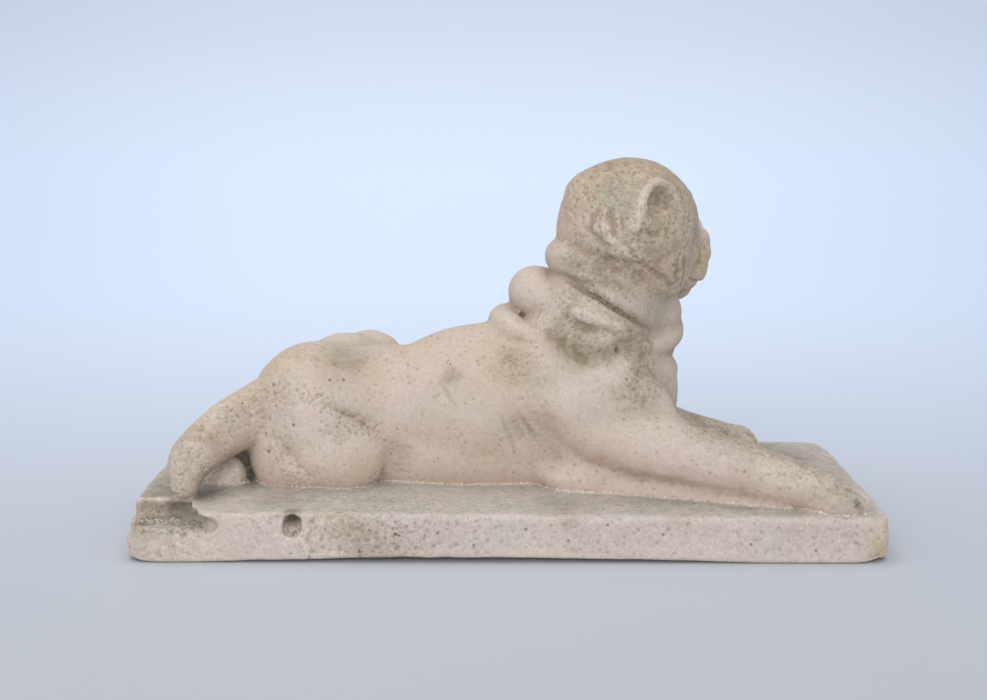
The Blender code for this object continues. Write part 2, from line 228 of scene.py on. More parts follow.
def strand(*stations: Station, within: Optional[Matrix] = None) -> Objects:
    """Adds a round strand of clay with rounded ends.

    Args:
        *stations: Points of the strand as x, y, z and radius.
        within: The frame that they are given in.

    Returns:
        The strand and its two round ends.
    """
    bpy.ops.curve.primitive_bezier_curve_add()
    obj = bpy.context.active_object
    curve = obj.data
    curve.bevel_depth = 1.0
    curve.bevel_resolution = 5
    curve.resolution_u = 8
    curve.use_fill_caps = True
    curve.splines.clear()
    spline = curve.splines.new("BEZIER")
    spline.bezier_points.add(len(stations) - 1)
    for knot, (x, y, z, radius) in zip(spline.bezier_points, stations):
        knot.co = (x, y, z)
        knot.radius = radius
        knot.handle_left_type = "AUTO"
        knot.handle_right_type = "AUTO"
    select_only([obj])
    bpy.ops.object.convert(target="MESH")
    obj = bpy.context.active_object
    obj.data.transform(to_frame(within))
    ends = [ball(s[:3], (s[3],) * 3, within=within)[0] for s in (stations[0], stations[-1])]
    return [obj, *ends]


def fuse(name: str, pieces: Objects, grain: float, rounds: int) -> bpy.types.Object:
    """Joins pieces of clay in one closed skin and softens it.

    Args:
        name: The name of the result.
        pieces: The pieces, of which the first becomes the result.
        grain: The size of the skin's faces, in metres.
        rounds: How many times it is softened.

    Returns:
        The fused clay.
    """
    select_only(pieces)
    if len(pieces) > 1:
        bpy.ops.object.join()
    obj = bpy.context.active_object
    obj.name = name
    apply_modifier(obj, "REMESH", mode="VOXEL", voxel_size=grain)
    if rounds:
        apply_modifier(obj, "SMOOTH", factor=0.5, iterations=rounds)
    log.info("%s: %d points at a grain of %.1f mm", name, len(obj.data.vertices), grain * 1000)
    return obj


def thin(obj: bpy.types.Object, triangles: int) -> None:
    """Keeps about that many triangles, where the shape needs them most.

    Args:
        obj: The object that is thinned.
        triangles: The number to keep.
    """
    obj.data.calc_loop_triangles()
    share = triangles / max(triangles, len(obj.data.loop_triangles))
    apply_modifier(obj, "DECIMATE", ratio=share, use_collapse_triangulate=True)


def refine(obj: bpy.types.Object, chosen: np.ndarray, cuts: int) -> None:
    """Divides the faces whose corners are all chosen.

    Args:
        obj: The object that gets a finer skin there.
        chosen: Whether each of its points is chosen.
        cuts: How many times each edge is cut.
    """
    select_only([obj])
    bpy.ops.object.mode_set(mode="EDIT")
    bpy.ops.mesh.select_mode(type="VERT")
    bpy.ops.mesh.select_all(action="DESELECT")
    bpy.ops.object.mode_set(mode="OBJECT")
    obj.data.vertices.foreach_set("select", chosen)
    bpy.ops.object.mode_set(mode="EDIT")
    bpy.ops.mesh.select_mode(type="FACE")
    bpy.ops.mesh.subdivide(number_cuts=cuts)
    bpy.ops.object.mode_set(mode="OBJECT")


def near_places(points: np.ndarray, places: Sequence[Point], reach: float) -> np.ndarray:
    """Whether each point lies within reach of any of the places.

    Args:
        points: The points, in metres.
        places: The places, in figure units.
        reach: The distance, in figure units.

    Returns:
        True for each point that does.
    """
    chosen = np.zeros(len(points), dtype=bool)
    for place in places:
        centre = np.array(to_frame() @ Vector(place))
        chosen |= ((points - centre) ** 2).sum(axis=1) < (reach * UNIT) ** 2
    return chosen


def tree_of(obj: bpy.types.Object) -> BVHTree:
    """A search tree of the object's faces."""
    return BVHTree.FromObject(obj, bpy.context.evaluated_depsgraph_get())


def smooth_line(points: Sequence[Point], step: float) -> list[Vector]:
    """Points about a step apart on a smooth curve through the given ones.

    Args:
        points: The points that the curve passes through.
        step: The distance between the points that are returned.

    Returns:
        The curve's points, or the given one where there is only one.
    """
    knots = [Vector(p) for p in points]
    if len(knots) == 1:
        return knots
    knots = [2 * knots[0] - knots[1], *knots, 2 * knots[-1] - knots[-2]]
    made = []
    for a, b, c, d in zip(knots, knots[1:], knots[2:], knots[3:]):
        count = max(1, round((c - b).length / step))
        for i in range(count):
            t = i / count
            bend = (2 * a - 5 * b + 4 * c - d) * t**2 + (3 * b - a - 3 * c + d) * t**3
            made.append(b + (c - a) * t / 2 + bend / 2)
    return [*made, knots[-2]]


# ---------------------------------------------------------------- patterns in space


def lattice(cells: np.ndarray, seed: int) -> np.ndarray:
    """A repeatable value between 0 and 1 for each whole cell of space."""
    mixed = (cells[:, 0] * 73856093) ^ (cells[:, 1] * 19349663) ^ (cells[:, 2] * 83492791)
    mixed = (mixed + seed * 668265263) & 0xFFFFFFFF
    mixed = ((mixed ^ (mixed >> 15)) * 2246822519) & 0xFFFFFFFF
    mixed = ((mixed ^ (mixed >> 13)) * 3266489917) & 0xFFFFFFFF
    return ((mixed ^ (mixed >> 16)) & 0xFFFF) / 65535.0


def clouds(points: np.ndarray, size: float, octaves: int = 1, seed: int = 0) -> np.ndarray:
    """Smooth noise between about -1 and 1.

    Args:
        points: Where it is read, in metres.
        size: How wide its largest lumps are, in metres.
        octaves: How many finer layers it has, each half as large and half as strong.
        seed: Which pattern it is.

    Returns:
        One value for each point.
    """
    tilt = np.array(Matrix.Rotation(0.61, 3, (0.48, 0.62, 0.62)))
    total = np.zeros(len(points))
    for layer in range(octaves):
        points = points @ tilt.T
        cells = points / (size / 2**layer)
        corner = np.floor(cells).astype(np.int64)
        part = cells - corner
        ease = part * part * (3 - 2 * part)
        for shift in product((0, 1), repeat=3):
            weight = np.prod(np.where(shift, ease, 1 - ease), axis=1)
            total += weight * (2 * lattice(corner + shift, seed + layer) - 1) / 2**layer
    return total


def cells_apart(points: np.ndarray, size: float, seed: int = 0) -> tuple[np.ndarray, np.ndarray]:
    """The distance to the nearest of points scattered one to a cell, and that cell's own value.

    Args:
        points: Where it is read, in metres.
        size: How wide a cell is, in metres.
        seed: Which scatter it is.

    Returns:
        The distance as a share of the cell, and a value between 0 and 1.
    """
    cells = points / size
    corner = np.floor(cells).astype(np.int64)
    nearest = np.full(len(points), np.inf)
    value = np.zeros(len(points))
    for shift in product((-1, 0, 1), repeat=3):
        home = corner + shift
        spot = home + np.stack([lattice(home, seed + 11 * axis) for axis in range(3)], axis=1)
        gap = np.linalg.norm(cells - spot, axis=1)
        closer = gap < nearest
        nearest[closer] = gap[closer]
        value[closer] = lattice(home, seed + 77)[closer]
    return nearest, value


def ramp(values: np.ndarray, low: float, high: float) -> np.ndarray:
    """Values between low and high as a smooth rise from 0 to 1."""
    share = np.clip((values - low) / (high - low), 0, 1)
    return share * share * (3 - 2 * share)


class Skin:
    """A mesh's points and normals as arrays, so that hand tools can push them in and out."""

    def __init__(self, obj: bpy.types.Object) -> None:
        """Reads the mesh of an object.

        Args:
            obj: The object that is worked on.
        """
        self.obj = obj
        self.mesh = obj.data
        self.points = self.read("co")
        self.normals = self.read("normal")

    def read(self, what: str) -> np.ndarray:
        """One row of three numbers for each of the mesh's points."""
        values = np.empty(len(self.mesh.vertices) * 3)
        self.mesh.vertices.foreach_get(what, values)
        return values.reshape(-1, 3)

    def sink(self, depths: np.ndarray) -> None:
        """Moves every point inwards by its own depth, in metres."""
        self.points = self.points - self.normals * depths[:, None]
        self.settle()

    def settle(self) -> None:
        """Writes the points back to the mesh and reads the new normals."""
        self.mesh.vertices.foreach_set("co", self.points.ravel())
        self.mesh.update()
        self.normals = self.read("normal")

    def draw(self, tree: BVHTree, stroke: Stroke, frame: Matrix) -> np.ndarray:
        """The stroke's line laid on the clay.

        Args:
            tree: The search tree of the clay.
            stroke: The stroke.
            frame: The matrix from the stroke's frame to the object's.

        Returns:
            The line's points, in metres.
        """
        path = smooth_line(stroke.points, max(0.8, stroke.width / 2))
        return np.array([tree.find_nearest(frame @ point)[0] for point in path])

    def press(self, strokes: Sequence[Stroke], within: Optional[Matrix] = None) -> None:
        """Presses strokes into the clay, all from the surface as it is now.

        Args:
            strokes: The strokes.
            within: The frame that they are given in.
        """
        tree = tree_of(self.obj)
        frame = to_frame(within)
        depths = np.zeros(len(self.points))
        for stroke in strokes:
            line = self.draw(tree, stroke, frame)
            width = stroke.width * UNIT
            reach = STROKE_REACH * width
            near = np.all(self.points > line.min(axis=0) - reach, axis=1)
            near &= np.all(self.points < line.max(axis=0) + reach, axis=1)
            chosen = np.flatnonzero(near)
            if not len(chosen):
                continue
            spots = self.points[chosen]
            gaps = np.linalg.norm(spots[:, None, :] - line[None, :, :], axis=2)
            along = gaps.argmin(axis=1) / max(1, len(line) - 1)
            gap = gaps.min(axis=1) / width
            if stroke.ragged:
                gap = gap * (1 + stroke.ragged * clouds(spots, 3.5 * UNIT, 2, 5))
            fade = 1.0
            if len(line) > 1:
                fade = np.sin(np.pi * np.clip(along, 0.04, 0.96)) ** 0.5
            fall = {
                Profile.SOFT: lambda g: np.exp(-(g**2)),
                Profile.SHARP: lambda g: np.exp(-1.6 * g),
                Profile.CUT: lambda g: 1 / (1 + g**6),
            }[stroke.profile](gap)
            depths[chosen] += stroke.depth * UNIT * fade * fall
        self.sink(depths)

    def strength(self, trace: Trace, spots: Sequence[Spot]) -> np.ndarray:
        """How strongly each point carries a trace, from 0 to 1.

        Args:
            trace: The trace.
            spots: The places that carry traces.

        Returns:
            One value for each point.
        """
        bare = np.ones(len(self.points))
        for spot in spots:
            if spot.trace is trace:
                centre = np.array(to_frame() @ Vector(spot.centre))
                gap = ((self.points - centre) ** 2).sum(axis=1) / (spot.reach * UNIT) ** 2
                bare *= 1 - min(1.0, spot.strength) * np.exp(-gap)
        return 1 - bare

    def relief(self, rounds: int) -> np.ndarray:
        """How far the surface lies below its own softened shape, in metres.

        Args:
            rounds: How many times the copy is softened.

        Returns:
            A positive value in hollows and a negative one on ridges.
        """
        edges = np.empty(len(self.mesh.edges) * 2, dtype=np.int64)
        self.mesh.edges.foreach_get("vertices", edges)
        one, two = edges[0::2], edges[1::2]
        count = len(self.points)
        degree = np.maximum(1, np.bincount(one, minlength=count) + np.bincount(two, minlength=count))
        soft = self.points.copy()
        for _ in range(rounds):
            for axis in range(3):
                line = soft[:, axis]
                total = np.bincount(one, line[two], count) + np.bincount(two, line[one], count)
                soft[:, axis] = (line + total / degree) / 2
        return ((soft - self.points) * self.normals).sum(axis=1)

    def erode(self, rough: np.ndarray, seed: int, where: np.ndarray) -> None:
        """Wears the surface as weather does: broad unevenness, grain and pits.

        Args:
            rough: How badly each point is worn, from 0 to 1.
            seed: Which pattern is used.
            where: How far each point may move, from 0 to 1.
        """
        grain = 0.35 + 0.65 * rough
        waves = 0.30 * clouds(self.points, 0.022, 2, seed)
        waves += 0.30 * grain * clouds(self.points, 0.0058, 3, seed + 7)
        apart, value = cells_apart(self.points, 0.0031, seed + 3)
        pores = ramp(-apart, -0.55, -0.10) * (value < 0.75 * rough - 0.12)
        waves += (0.15 + 0.80 * rough) * pores
        self.sink(waves * where * MILLIMETRE)


def write_masks(obj: bpy.types.Object, masks: dict[str, np.ndarray]) -> None:
    """Stores each mask on the object's points, for its material to read.

    Args:
        obj: The object.
        masks: Values between 0 and 1 for each point, by the mask's name.
    """
    for name, values in masks.items():
        layer = obj.data.attributes.new(name, "FLOAT", "POINT")
        layer.data.foreach_set("value", np.clip(values, 0, 1).astype(np.float32))


def carried_over(source: np.ndarray, target: np.ndarray) -> np.ndarray:
    """For each target point, the index of the source point nearest to it."""
    tree = KDTree(len(source))
    for i, point in enumerate(source):
        tree.insert(point, i)
    tree.balance()
    return np.array([tree.find(point)[1] for point in target])


# ---------------------------------------------------------------- the dog


@dataclass
class Trunk:
    """Ribcage, belly, pelvis, chest, shoulders, neck and haunches."""

    rib_radii: Point = (86.0, 43.0, 55.0)
    pelvis_radii: Point = (47.0, 41.0, 45.0)
    chest_radii: Point = (59.0, 44.0, 55.0)
    shoulder_radii: Point = (42.0, 25.0, 46.0)

    def masses(self) -> Objects:
        """Builds the large forms.

        Returns:
            The pieces of clay.
        """
        return [
            *ball((-5, 4, 48), self.rib_radii),
            *ball((-24, 2, 18), (104, 36, 36)),
            *ball((-80, 4, 43), (56, 38, 45)),
            *ball((-124, 0, 46), self.pelvis_radii),
            *ball((-158, 12, 18), (32, 27, 34)),
            *ball((58, 5, 58), self.chest_radii),
            *ball((76, 5, 34), (41, 36, 42)),
            *ball((56, -20, 56), self.shoulder_radii, pitch=10),
            *ball((56, 29, 56), self.shoulder_radii, pitch=10),
            *strand((46, 5, 74, 46), (58, 5, 102, 43), (68, 5, 122, 41), (78, 5, 150, 38)),
            *ball((92, 16, 108), (27, 27, 24)),
            *ball((50, 30, 100), (42, 27, 40)),
            *ball((84, 24, 84), (27, 27, 28)),
            *ball((-122, -18, 42), (46, 27, 42), pitch=14),
            *ball((-108, -28, 22), (33, 20, 28), pitch=6),
            *ball((-148, -20, 22), (22, 22, 32)),
            *ball((-130, -24, 16), (24, 21, 22)),
            *ball((-111, 34, 50), (38, 22, 41), pitch=8),
        ]

    def creases(self) -> list[Stroke]:
        """The broad hollows and lines of the trunk."""
        return [
            Stroke(((-120, -41, 62), (-110, -40, 54), (-97, -36, 47), (-86, -33, 37), (-78, -33, 25),
                   (-77, -32, 16)), 5, 2.0),
            Stroke(((-144, -40, 31), (-140, -38, 25), (-133, -37, 18), (-127, -39, 12), (-122, -40, 6)), 5, 1.8),
            Stroke(((-66, -30, 30), (-68, -30, 18), (-70, -30, 6)), 8, 2.5),
            Stroke(((-2, -38, 34), (8, -38, 38), (18, -38, 44)), 13, 4.0),
            Stroke(((-36, -36, 66), (-42, -36, 62)), 9, 1.5),
            Stroke(((-14, -34, 84), (-4, -36, 74), (8, -38, 66)), 8, 1.8),
            Stroke(((-90, 40, 30), (-78, 44, 44), (-72, 42, 60)), 7, 4.0),
            Stroke(((-128, 40, 40), (-116, 48, 30), (-106, 52, 22)), 6, 3.5),
            Stroke(((4, 42, 38), (14, 44, 42), (22, 44, 46)), 11, 4.0),
            Stroke(((60, 5, 30), (118, 5, 58), (114, 5, 84)), 7, 1.5),
            Stroke(((9, -12, 110), (8, -13, 109)), 4, 4.0),
        ]

    def fine_lines(self) -> list[Stroke]:
        """The narrow, broken lines of the trunk, dents and single holes."""
        return [
            Stroke(((-120, -41, 61), (-115, -41, 57), (-109, -40, 53), (-102, -38, 50), (-94, -35, 45),
                   (-86, -33, 37)),
                   2.2, 1.7, Profile.SHARP, 0.7),
            Stroke(((-143, -39, 30), (-138, -38, 23), (-132, -37, 17), (-126, -39, 11)), 1.8, 1.0, Profile.SHARP, 0.7),
            Stroke(((-79, -34, 15), (-80, -31, 8), (-79, -27, 3)), 2.2, 1.8, Profile.SHARP, 0.4),
            Stroke(((-36, -30, 74), (-38, -30, 72)), 4, 1.4, ragged=0.4),
            Stroke(((-1, -26, 87), (4, -29, 83), (8, -31, 78)), 3, 1.2, ragged=0.5),
            Stroke(((-112, -25, 81), (-109, -24, 82)), 2.2, 1.2, ragged=0.4),
        ]


@dataclass
class Legs:
    """The forelegs stretched out in front and the far hind leg drawn up."""

    near_reach: float = 206.0
    near_side: float = -74.0
    far_reach: float = 165.0
    foot_across: float = 14.5
    toe_spread: float = 7.5

    def masses(self) -> Objects:
        """Builds elbows and the heavy upper parts of the forelegs.

        Returns:
            The pieces of clay.
        """
        return [
            *ball((60, -30, 6), (38, 18, 15)),
            *strand((56, -33, 3, 12.5), (92, -43, 2, 11.5), (130, -53, 1, 10), (174, -66, 0, 10)),
            *ball((68, -24, 48), (46, 23, 36), pitch=20, turn=-8),
            *strand((62, -25, 34, 25), (94, -36, 29, 24), (126, -45, 23, 21)),
            *ball((32, 38, 9), (34, 15, 17)),
            *strand((34, 42, 6, 12), (84, 47, 5, 10), (140, 55, 3, 8)),
        ]

    def forms(self) -> Objects:
        """Builds the lower legs and the feet.

        Returns:
            The pieces of clay.
        """
        return [
            *strand((90, -38, 28, 22), (126, -47, 22, 20.5), (163, -59, 16, 17), (197, -71, 9, 13.5)),
            *ball((self.near_reach, self.near_side, 4), (22, self.foot_across, 13), turn=-8, pitch=8),
            *strand((56, 38, 30, 23), (96, 45, 24, 20), (130, 52, 15, 15), (158, 55, 9, 12.5)),
            *ball((self.far_reach, 57, 6), (18, self.foot_across, 14), turn=4, pitch=4),
            *ball((-94.5, 45, 66.5), (25, 17, 23.5)),
            *strand((-84, 50, 60, 14), (-97, 55, 36, 13), (-112, 57, 14, 14)),
            *strand((-118, 54, 8, 15), (-92, 59, 6, 12), (-66, 63, 4, 11)),
            *ball((-56, 64, 4), (16, 13.5, 12)),
        ]

    def toes(self) -> list[Stroke]:
        """The grooves between the toes.

        Returns:
            Three strokes for each foot that shows.
        """
        strokes = []
        for instep, across, spread in (
            ((self.near_reach, self.near_side, 13), Vector((0.1, 1, 0)), self.toe_spread),
            ((self.far_reach, 57, 14), Vector((-0.05, 1, 0)), self.toe_spread),
            ((-56, 64, 12), Vector((0, 1, 0)), self.toe_spread - 0.5),
        ):
            for i in (-1, 0, 1):
                root = Vector(instep) + across * spread * i
                line = [root + Vector((3, 0, 4)), root + Vector((12, 0, 0)), root + Vector((20, 0, -9))]
                strokes.append(Stroke(tuple(tuple(p) for p in line), 2.6, 3.0))
        return strokes

    def creases(self) -> list[Stroke]:
        """The folds where the forelegs meet the trunk and the plinth."""
        return [
            Stroke(((27, -35, 43), (32, -36, 35), (39, -37, 29), (48, -41, 23), (60, -45, 19), (85, -51, 13),
                    (122, -60, 11), (147, -66, 10)), 6, 1.4),
            Stroke(((82, -38, 76), (92, -30, 78), (100, -22, 74)), 4, 2.0),
            Stroke(((26, 44, 44), (36, 50, 32), (52, 56, 22), (80, 60, 16), (110, 62, 12)), 5, 3.0),
        ]

    def fine_lines(self) -> list[Stroke]:
        """Notches, nicks and the small fold where the near foreleg leaves the chest."""
        return [
            Stroke(((121, -44, 46), (128, -42, 44)), 1.6, 1.8, Profile.SHARP, 0.4),
            Stroke(((216, -88, 7), (218, -88, 3)), 1.9, 3.0, Profile.CUT, 0.6),
            Stroke(((196, -66, 21), (204, -74, 17)), 3.0, 0.8, ragged=0.5),
            Stroke(((200, -84, 14), (210, -87, 9)), 2.6, 0.7, ragged=0.5),
            Stroke(((28, -36, 41), (36, -37, 31), (46, -40, 24), (60, -45, 18), (85, -51, 12), (122, -60, 10)),
                   2.6, 0.6, ragged=0.4),
        ]


@dataclass
class Tail:
    """The tail, which hangs from the rump and rests on the plinth's near rear corner."""

    root_radius: float = 26.5
    tip_radius: float = 9.5

    def forms(self) -> Objects:
        """Builds the tail and the lump of stone left under it.

        Returns:
            The pieces of clay.
        """
        return [
            *strand(
                (-139, -6, 51, self.root_radius), (-166, -18, 44, 20.5), (-188, -38, 34, 17),
                (-201.5, -53, 21, 14.5), (-203, -61, 9.5, self.tip_radius),
            ),
            *ball((-180, -27, 6), (11, 9, 13), pitch=10),
            *ball((-187, -29, 3), (9, 8, 8)),
            *ball((-176, 2, 10), (18, 16, 22)),
        ]

    def fine_lines(self) -> list[Stroke]:
        """The groove down the tail's near side and the split at its tip."""
        return [
            Stroke(((-170, -44, 50), (-184, -56, 38), (-193, -68, 24)), 6, 0.9, ragged=0.3),
            Stroke(((-211, -62, 5), (-205, -70, 6)), 1.5, 1.5, Profile.SHARP, 0.6),
        ]


@dataclass
class NeckFolds:
    """Rolls of loose skin, bunched on the side that the head turns to, and the strap between them."""

    upper_radius: float = 12.5
    middle_radius: float = 17.5
    lower_radius: float = 11.5

    def forms(self) -> Objects:
        """Builds the three rolls.

        Returns:
            The pieces of clay.
        """
        return [
            *strand(
                (94, -14, 114, 6), (82, -24, 128, 6.5), (64, -28, 139, 8), (44, -21, 147, 10),
                (38, 4, 147, self.upper_radius), (46, 36, 143, 12), (76, 50, 131, 10), (100, 44, 119, 8),
            ),
            *strand(
                (42, -12, 115, 8), (27, -3, 120, 13), (18.5, 14, 122, self.middle_radius), (31, 40, 119, 15),
                (62, 53, 108, 12), (96, 42, 100, 11.5), (108.5, 17, 96.5, 12), (102, -8, 92, 8), (88, -20, 92, 5),
            ),
            *strand(
                (18, -18, 98, 5), (3, -4, 101, 10), (0, 20, 102, self.lower_radius), (18, 45, 94, 11),
                (62, 54, 82, 10), (96, 40, 73, 10), (106, 15, 69, 11.5), (100, -8, 67, 8), (88, -20, 66, 5),
            ),
            *ball((104, 15, 84), (10.5, 15, 9)),
        ]

    def creases(self) -> list[Stroke]:
        """The broad lines of the strap and of the hanging folds."""
        return [
            Stroke(((33, -14, 137), (42, -24, 134), (50, -31, 129), (60, -31, 124), (69, -32, 118), (79, -30, 112),
                    (89, -26, 105), (97, -19, 99)), 1.9, 2.2),
            Stroke(((42, -30, 138), (52, -36, 135), (62, -36, 130), (73, -34, 124), (84, -30, 117), (94, -24, 110)),
                   4.0, -1.6),
            Stroke(((31, -25, 146), (44, -35, 143), (53, -40, 141), (65, -40, 136), (78, -36, 129), (91, -28, 121)),
                   2.6, 1.7, ragged=0.2),
            Stroke(((44, -33, 117), (53, -36, 115), (63, -37, 110), (71, -36, 106),
                   (81, -31, 102)), 5, -1.6, ragged=0.3),
            Stroke(((38, -30, 113), (44, -32, 109), (52, -34, 106), (60, -36, 105),
                   (68, -36, 104)), 3.2, 2.0, ragged=0.3),
            Stroke(((44, -39, 100), (53, -41, 98), (63, -40, 98), (71, -35, 98)), 6, -1.8),
            Stroke(((30, -29, 104), (32, -32, 99), (36, -34, 94), (44, -37, 89), (53, -38, 85), (63, -36, 87),
                    (71, -34, 92), (79, -31, 94)), 4.0, 2.0, ragged=0.2),
        ]

    def fine_lines(self) -> list[Stroke]:
        """The sharp lower edge of the strap, split folds and the deep hole below them."""
        return [
            Stroke(((33, -14, 137), (42, -24, 134), (50, -31, 129), (60, -31, 124), (69, -32, 118), (79, -30, 112),
                    (89, -26, 105), (97, -19, 99)), 0.9, 1.6, Profile.SHARP, 0.3),
            Stroke(((36, -18, 136), (43, -25, 133), (51, -30, 128.5), (60, -31, 123.5), (69, -31, 117.5),
                    (79, -29, 111.5), (89, -25, 104.5)), 1.3, 2.8, Profile.SHARP, 0.3),
            Stroke(((40, -30, 141), (53, -38, 138), (66, -38, 132), (79, -33, 125)), 2.0, 0.6, ragged=0.6),
            Stroke(((31, -30, 101), (34, -33, 96), (40, -36, 91), (48, -38, 87), (56, -38, 86)), 2.4, 1.2, ragged=0.6),
            Stroke(((40, -31, 112), (47, -33, 108), (54, -35, 106), (62, -36, 105)), 2.0, 1.5, ragged=0.6),
            Stroke(((66, -35, 95), (74, -33, 97), (82, -29, 96)), 2.2, 1.3, ragged=0.6),
            Stroke(((71, -34, 91.5),), 1.15, 4.4, Profile.CUT, 0.3),
            Stroke(((92, -25, 99), (95, -22, 95), (95, -21, 90)), 2.0, 1.5, ragged=0.6),
            Stroke(((48, -36, 118), (52, -37, 114)), 2.2, -0.9, ragged=0.7),
            Stroke(((58, -37, 112), (63, -38, 109)), 2.2, -0.9, ragged=0.7),
            Stroke(((86, -38, 79), (92, -34, 80)), 1.8, 1.2, ragged=0.6),
        ]


@dataclass
class Head:
    """Skull, short broad muzzle, folded ears and eyes, in the head's own frame."""

    centre: Point = (80.0, 5.0, 165.0)
    turn: float = 44.0
    skull_radius: float = 47.5
    eye_radius: float = 5.4
    lid_radius: float = 1.7
    near_ear: tuple[Station, ...] = (
        (-32, -34, 5, 4.4), (-29, -34.8, 14.8, 4.8), (-22, -33.6, 26, 4.8), (-11, -33.8, 32, 4.6),
        (-2.5, -38.4, 27, 3.8), (0, -42, 17, 3),
    )
    far_ear: tuple[Station, ...] = (
        (-21, 33, 4, 6), (-18, 35, 14, 5), (-13, 35, 24, 4.6), (-4, 35.5, 29.5, 4.6), (7, 38, 25, 4.2),
        (12, 40, 16, 3.4),
    )

    @property
    def frame(self) -> Matrix:
        """The matrix from the head's own frame, with X towards its nose, to figure units."""
        return Matrix.Translation(self.centre) @ Matrix.Rotation(math.radians(self.turn), 4, "Z")

    def masses(self) -> Objects:
        """Builds the cranium, squared a little at the back of the crown.

        Returns:
            The pieces of clay.
        """
        return [
            *ball((0, 0, 0), (self.skull_radius,) * 3, within=self.frame),
            *ball((-22, 7, 19), (23, 24, 23), within=self.frame),
        ]

    def forms(self) -> Objects:
        """Builds muzzle, flews, chin, nose, cheeks, brows and ears.

        Returns:
            The pieces of clay.
        """
        frame = self.frame
        made = [
            *ball((28, 0, -10), (26, 27, 25), within=frame),
            *ball((44, -2, -42), (14, 15, 10), within=frame),
            *ball((60, 0, -3), (9.5, 14, 10), within=frame),
            *strand(
                (24, -35, -16, 5), (38, -24, 0, 6), (46, -13, 8, 6), (49, 0, 11, 6),
                (46, 13, 8, 6), (38, 24, 0, 6), (24, 35, -16, 5), within=frame,
            ),
        ]
        for side in Side:
            s = side.value
            made += ball((46, s * 12, -11), (19, 13.5, 13.5), turn=s * 10, within=frame)
            made += ball((40, s * 18, -25), (16, 11.5, 18), turn=s * 16, within=frame)
            made += ball((46.5, s * 15.5, -18.5), (16, 12, 11), turn=s * 12, within=frame)
            made += ball((4, s * 29, -14), (25, 18, 29), turn=s * -8, within=frame)
            made += ball((25, s * 17, 21.5), (13, 14, 6.5), turn=s * 20, within=frame)
            made += self.ear(side)
        made += ball((-27, -36, 8), (8.5, 4.5, 6.5), turn=-30, within=frame)
        return made

    def ear(self, side: Side) -> Objects:
        """Builds the folded rim of one small ear.

        Args:
            side: Which ear it is.

        Returns:
            The pieces of clay.
        """
        return strand(*(self.near_ear if side is Side.NEAR else self.far_ear), within=self.frame)

    def creases(self) -> list[Stroke]:
        """The broad lines of the face, the sockets and the ears' hollows."""
        strokes = [
            Stroke(((-60, 8, -17), (-58, -8, -17), (-50, -22, -19), (-44, -30, -22), (-34, -36, -27), (-24, -40, -36)),
                   4, 2.5),
            Stroke(((-20, -40, 13), (-15, -40, 22), (-8, -41, 15)), 8.5, 4.8),
            Stroke(((-8, 38, 13), (-3, 39, 22), (4, 40, 15)), 8.0, 7.0),
            Stroke(((45, 0, 17), (40, 0, 26), (30, 0, 37), (18, 0, 45)), 5, 3.5),
            Stroke(((68, 0, -8), (66, 0, -14), (64, 0, -22), (60, 0, -30)), 2.8, 3.0),
            Stroke(((24, -31, -42), (38, -28, -45), (52, -18, -37), (58, 0, -33), (52, 18, -37), (38, 28, -45),
                    (24, 31, -42)), 2.6, 1.6),
            Stroke(((34, -28, -2), (48, -18, -1), (56, -12, 6), (58, 0, 10), (56, 12, 6), (48, 18, -1),
                    (34, 28, -2)), 3, 3.0),
            Stroke(((30, -32, 2), (42, -20, 9), (50, -8, 16), (52, 0, 18), (50, 8, 16), (42, 20, 9), (30, 32, 2)),
                   3.5, 2.5),
        ]
        for side in Side:
            s = side.value
            strokes += [
                Stroke(((20, s * 36, 4), (18, s * 40, -10), (17, s * 41, -24), (16, s * 40, -38)), 6, 4.0),
                Stroke(((42, s * 19, 13),), 8, 6.5),
                Stroke(((24, s * 24, 34), (36, s * 14, 33)), 3.0, 1.8),
            ]
        return strokes

    def eyes(self, tree: BVHTree) -> Objects:
        """Builds an eyeball between two lids in each socket.

        Args:
            tree: The search tree of the clay with its sockets pressed in.

        Returns:
            The pieces of clay.
        """
        made = []
        to_head = to_frame(self.frame).inverted()
        for side in Side:
            s = side.value
            seat, normal = tree.find_nearest(to_frame(self.frame) @ Vector((42, s * 19, 13)))[:2]
            seat = to_head @ seat
            out = (to_head.to_3x3() @ normal).normalized()
            out = (out + Vector((1.0, s * 0.55, 0.1))).normalized()
            across = Vector((0, 0, 1)).cross(out).normalized() * s
            up = out.cross(across).normalized()
            up = up if up.z > 0 else -up
            centre = seat - out * 2.6
            made += ball(tuple(centre), (self.eye_radius,) * 3, within=self.frame)
            for lift, radius, bulge in ((4.4, self.lid_radius + 0.2, 2.2), (-4.0, self.lid_radius, 1.6)):
                arc = []
                for k in range(5):
                    angle = math.pi * k / 4
                    spread = across * math.cos(angle) * 8.2 + up * math.sin(angle) * lift
                    point = centre + spread + out * (1.2 + bulge * math.sin(angle) - 0.4 * abs(math.cos(angle)))
                    arc.append((*point, radius * (0.75 + 0.25 * math.sin(angle))))
                made += strand(*arc, within=self.frame)
        return made

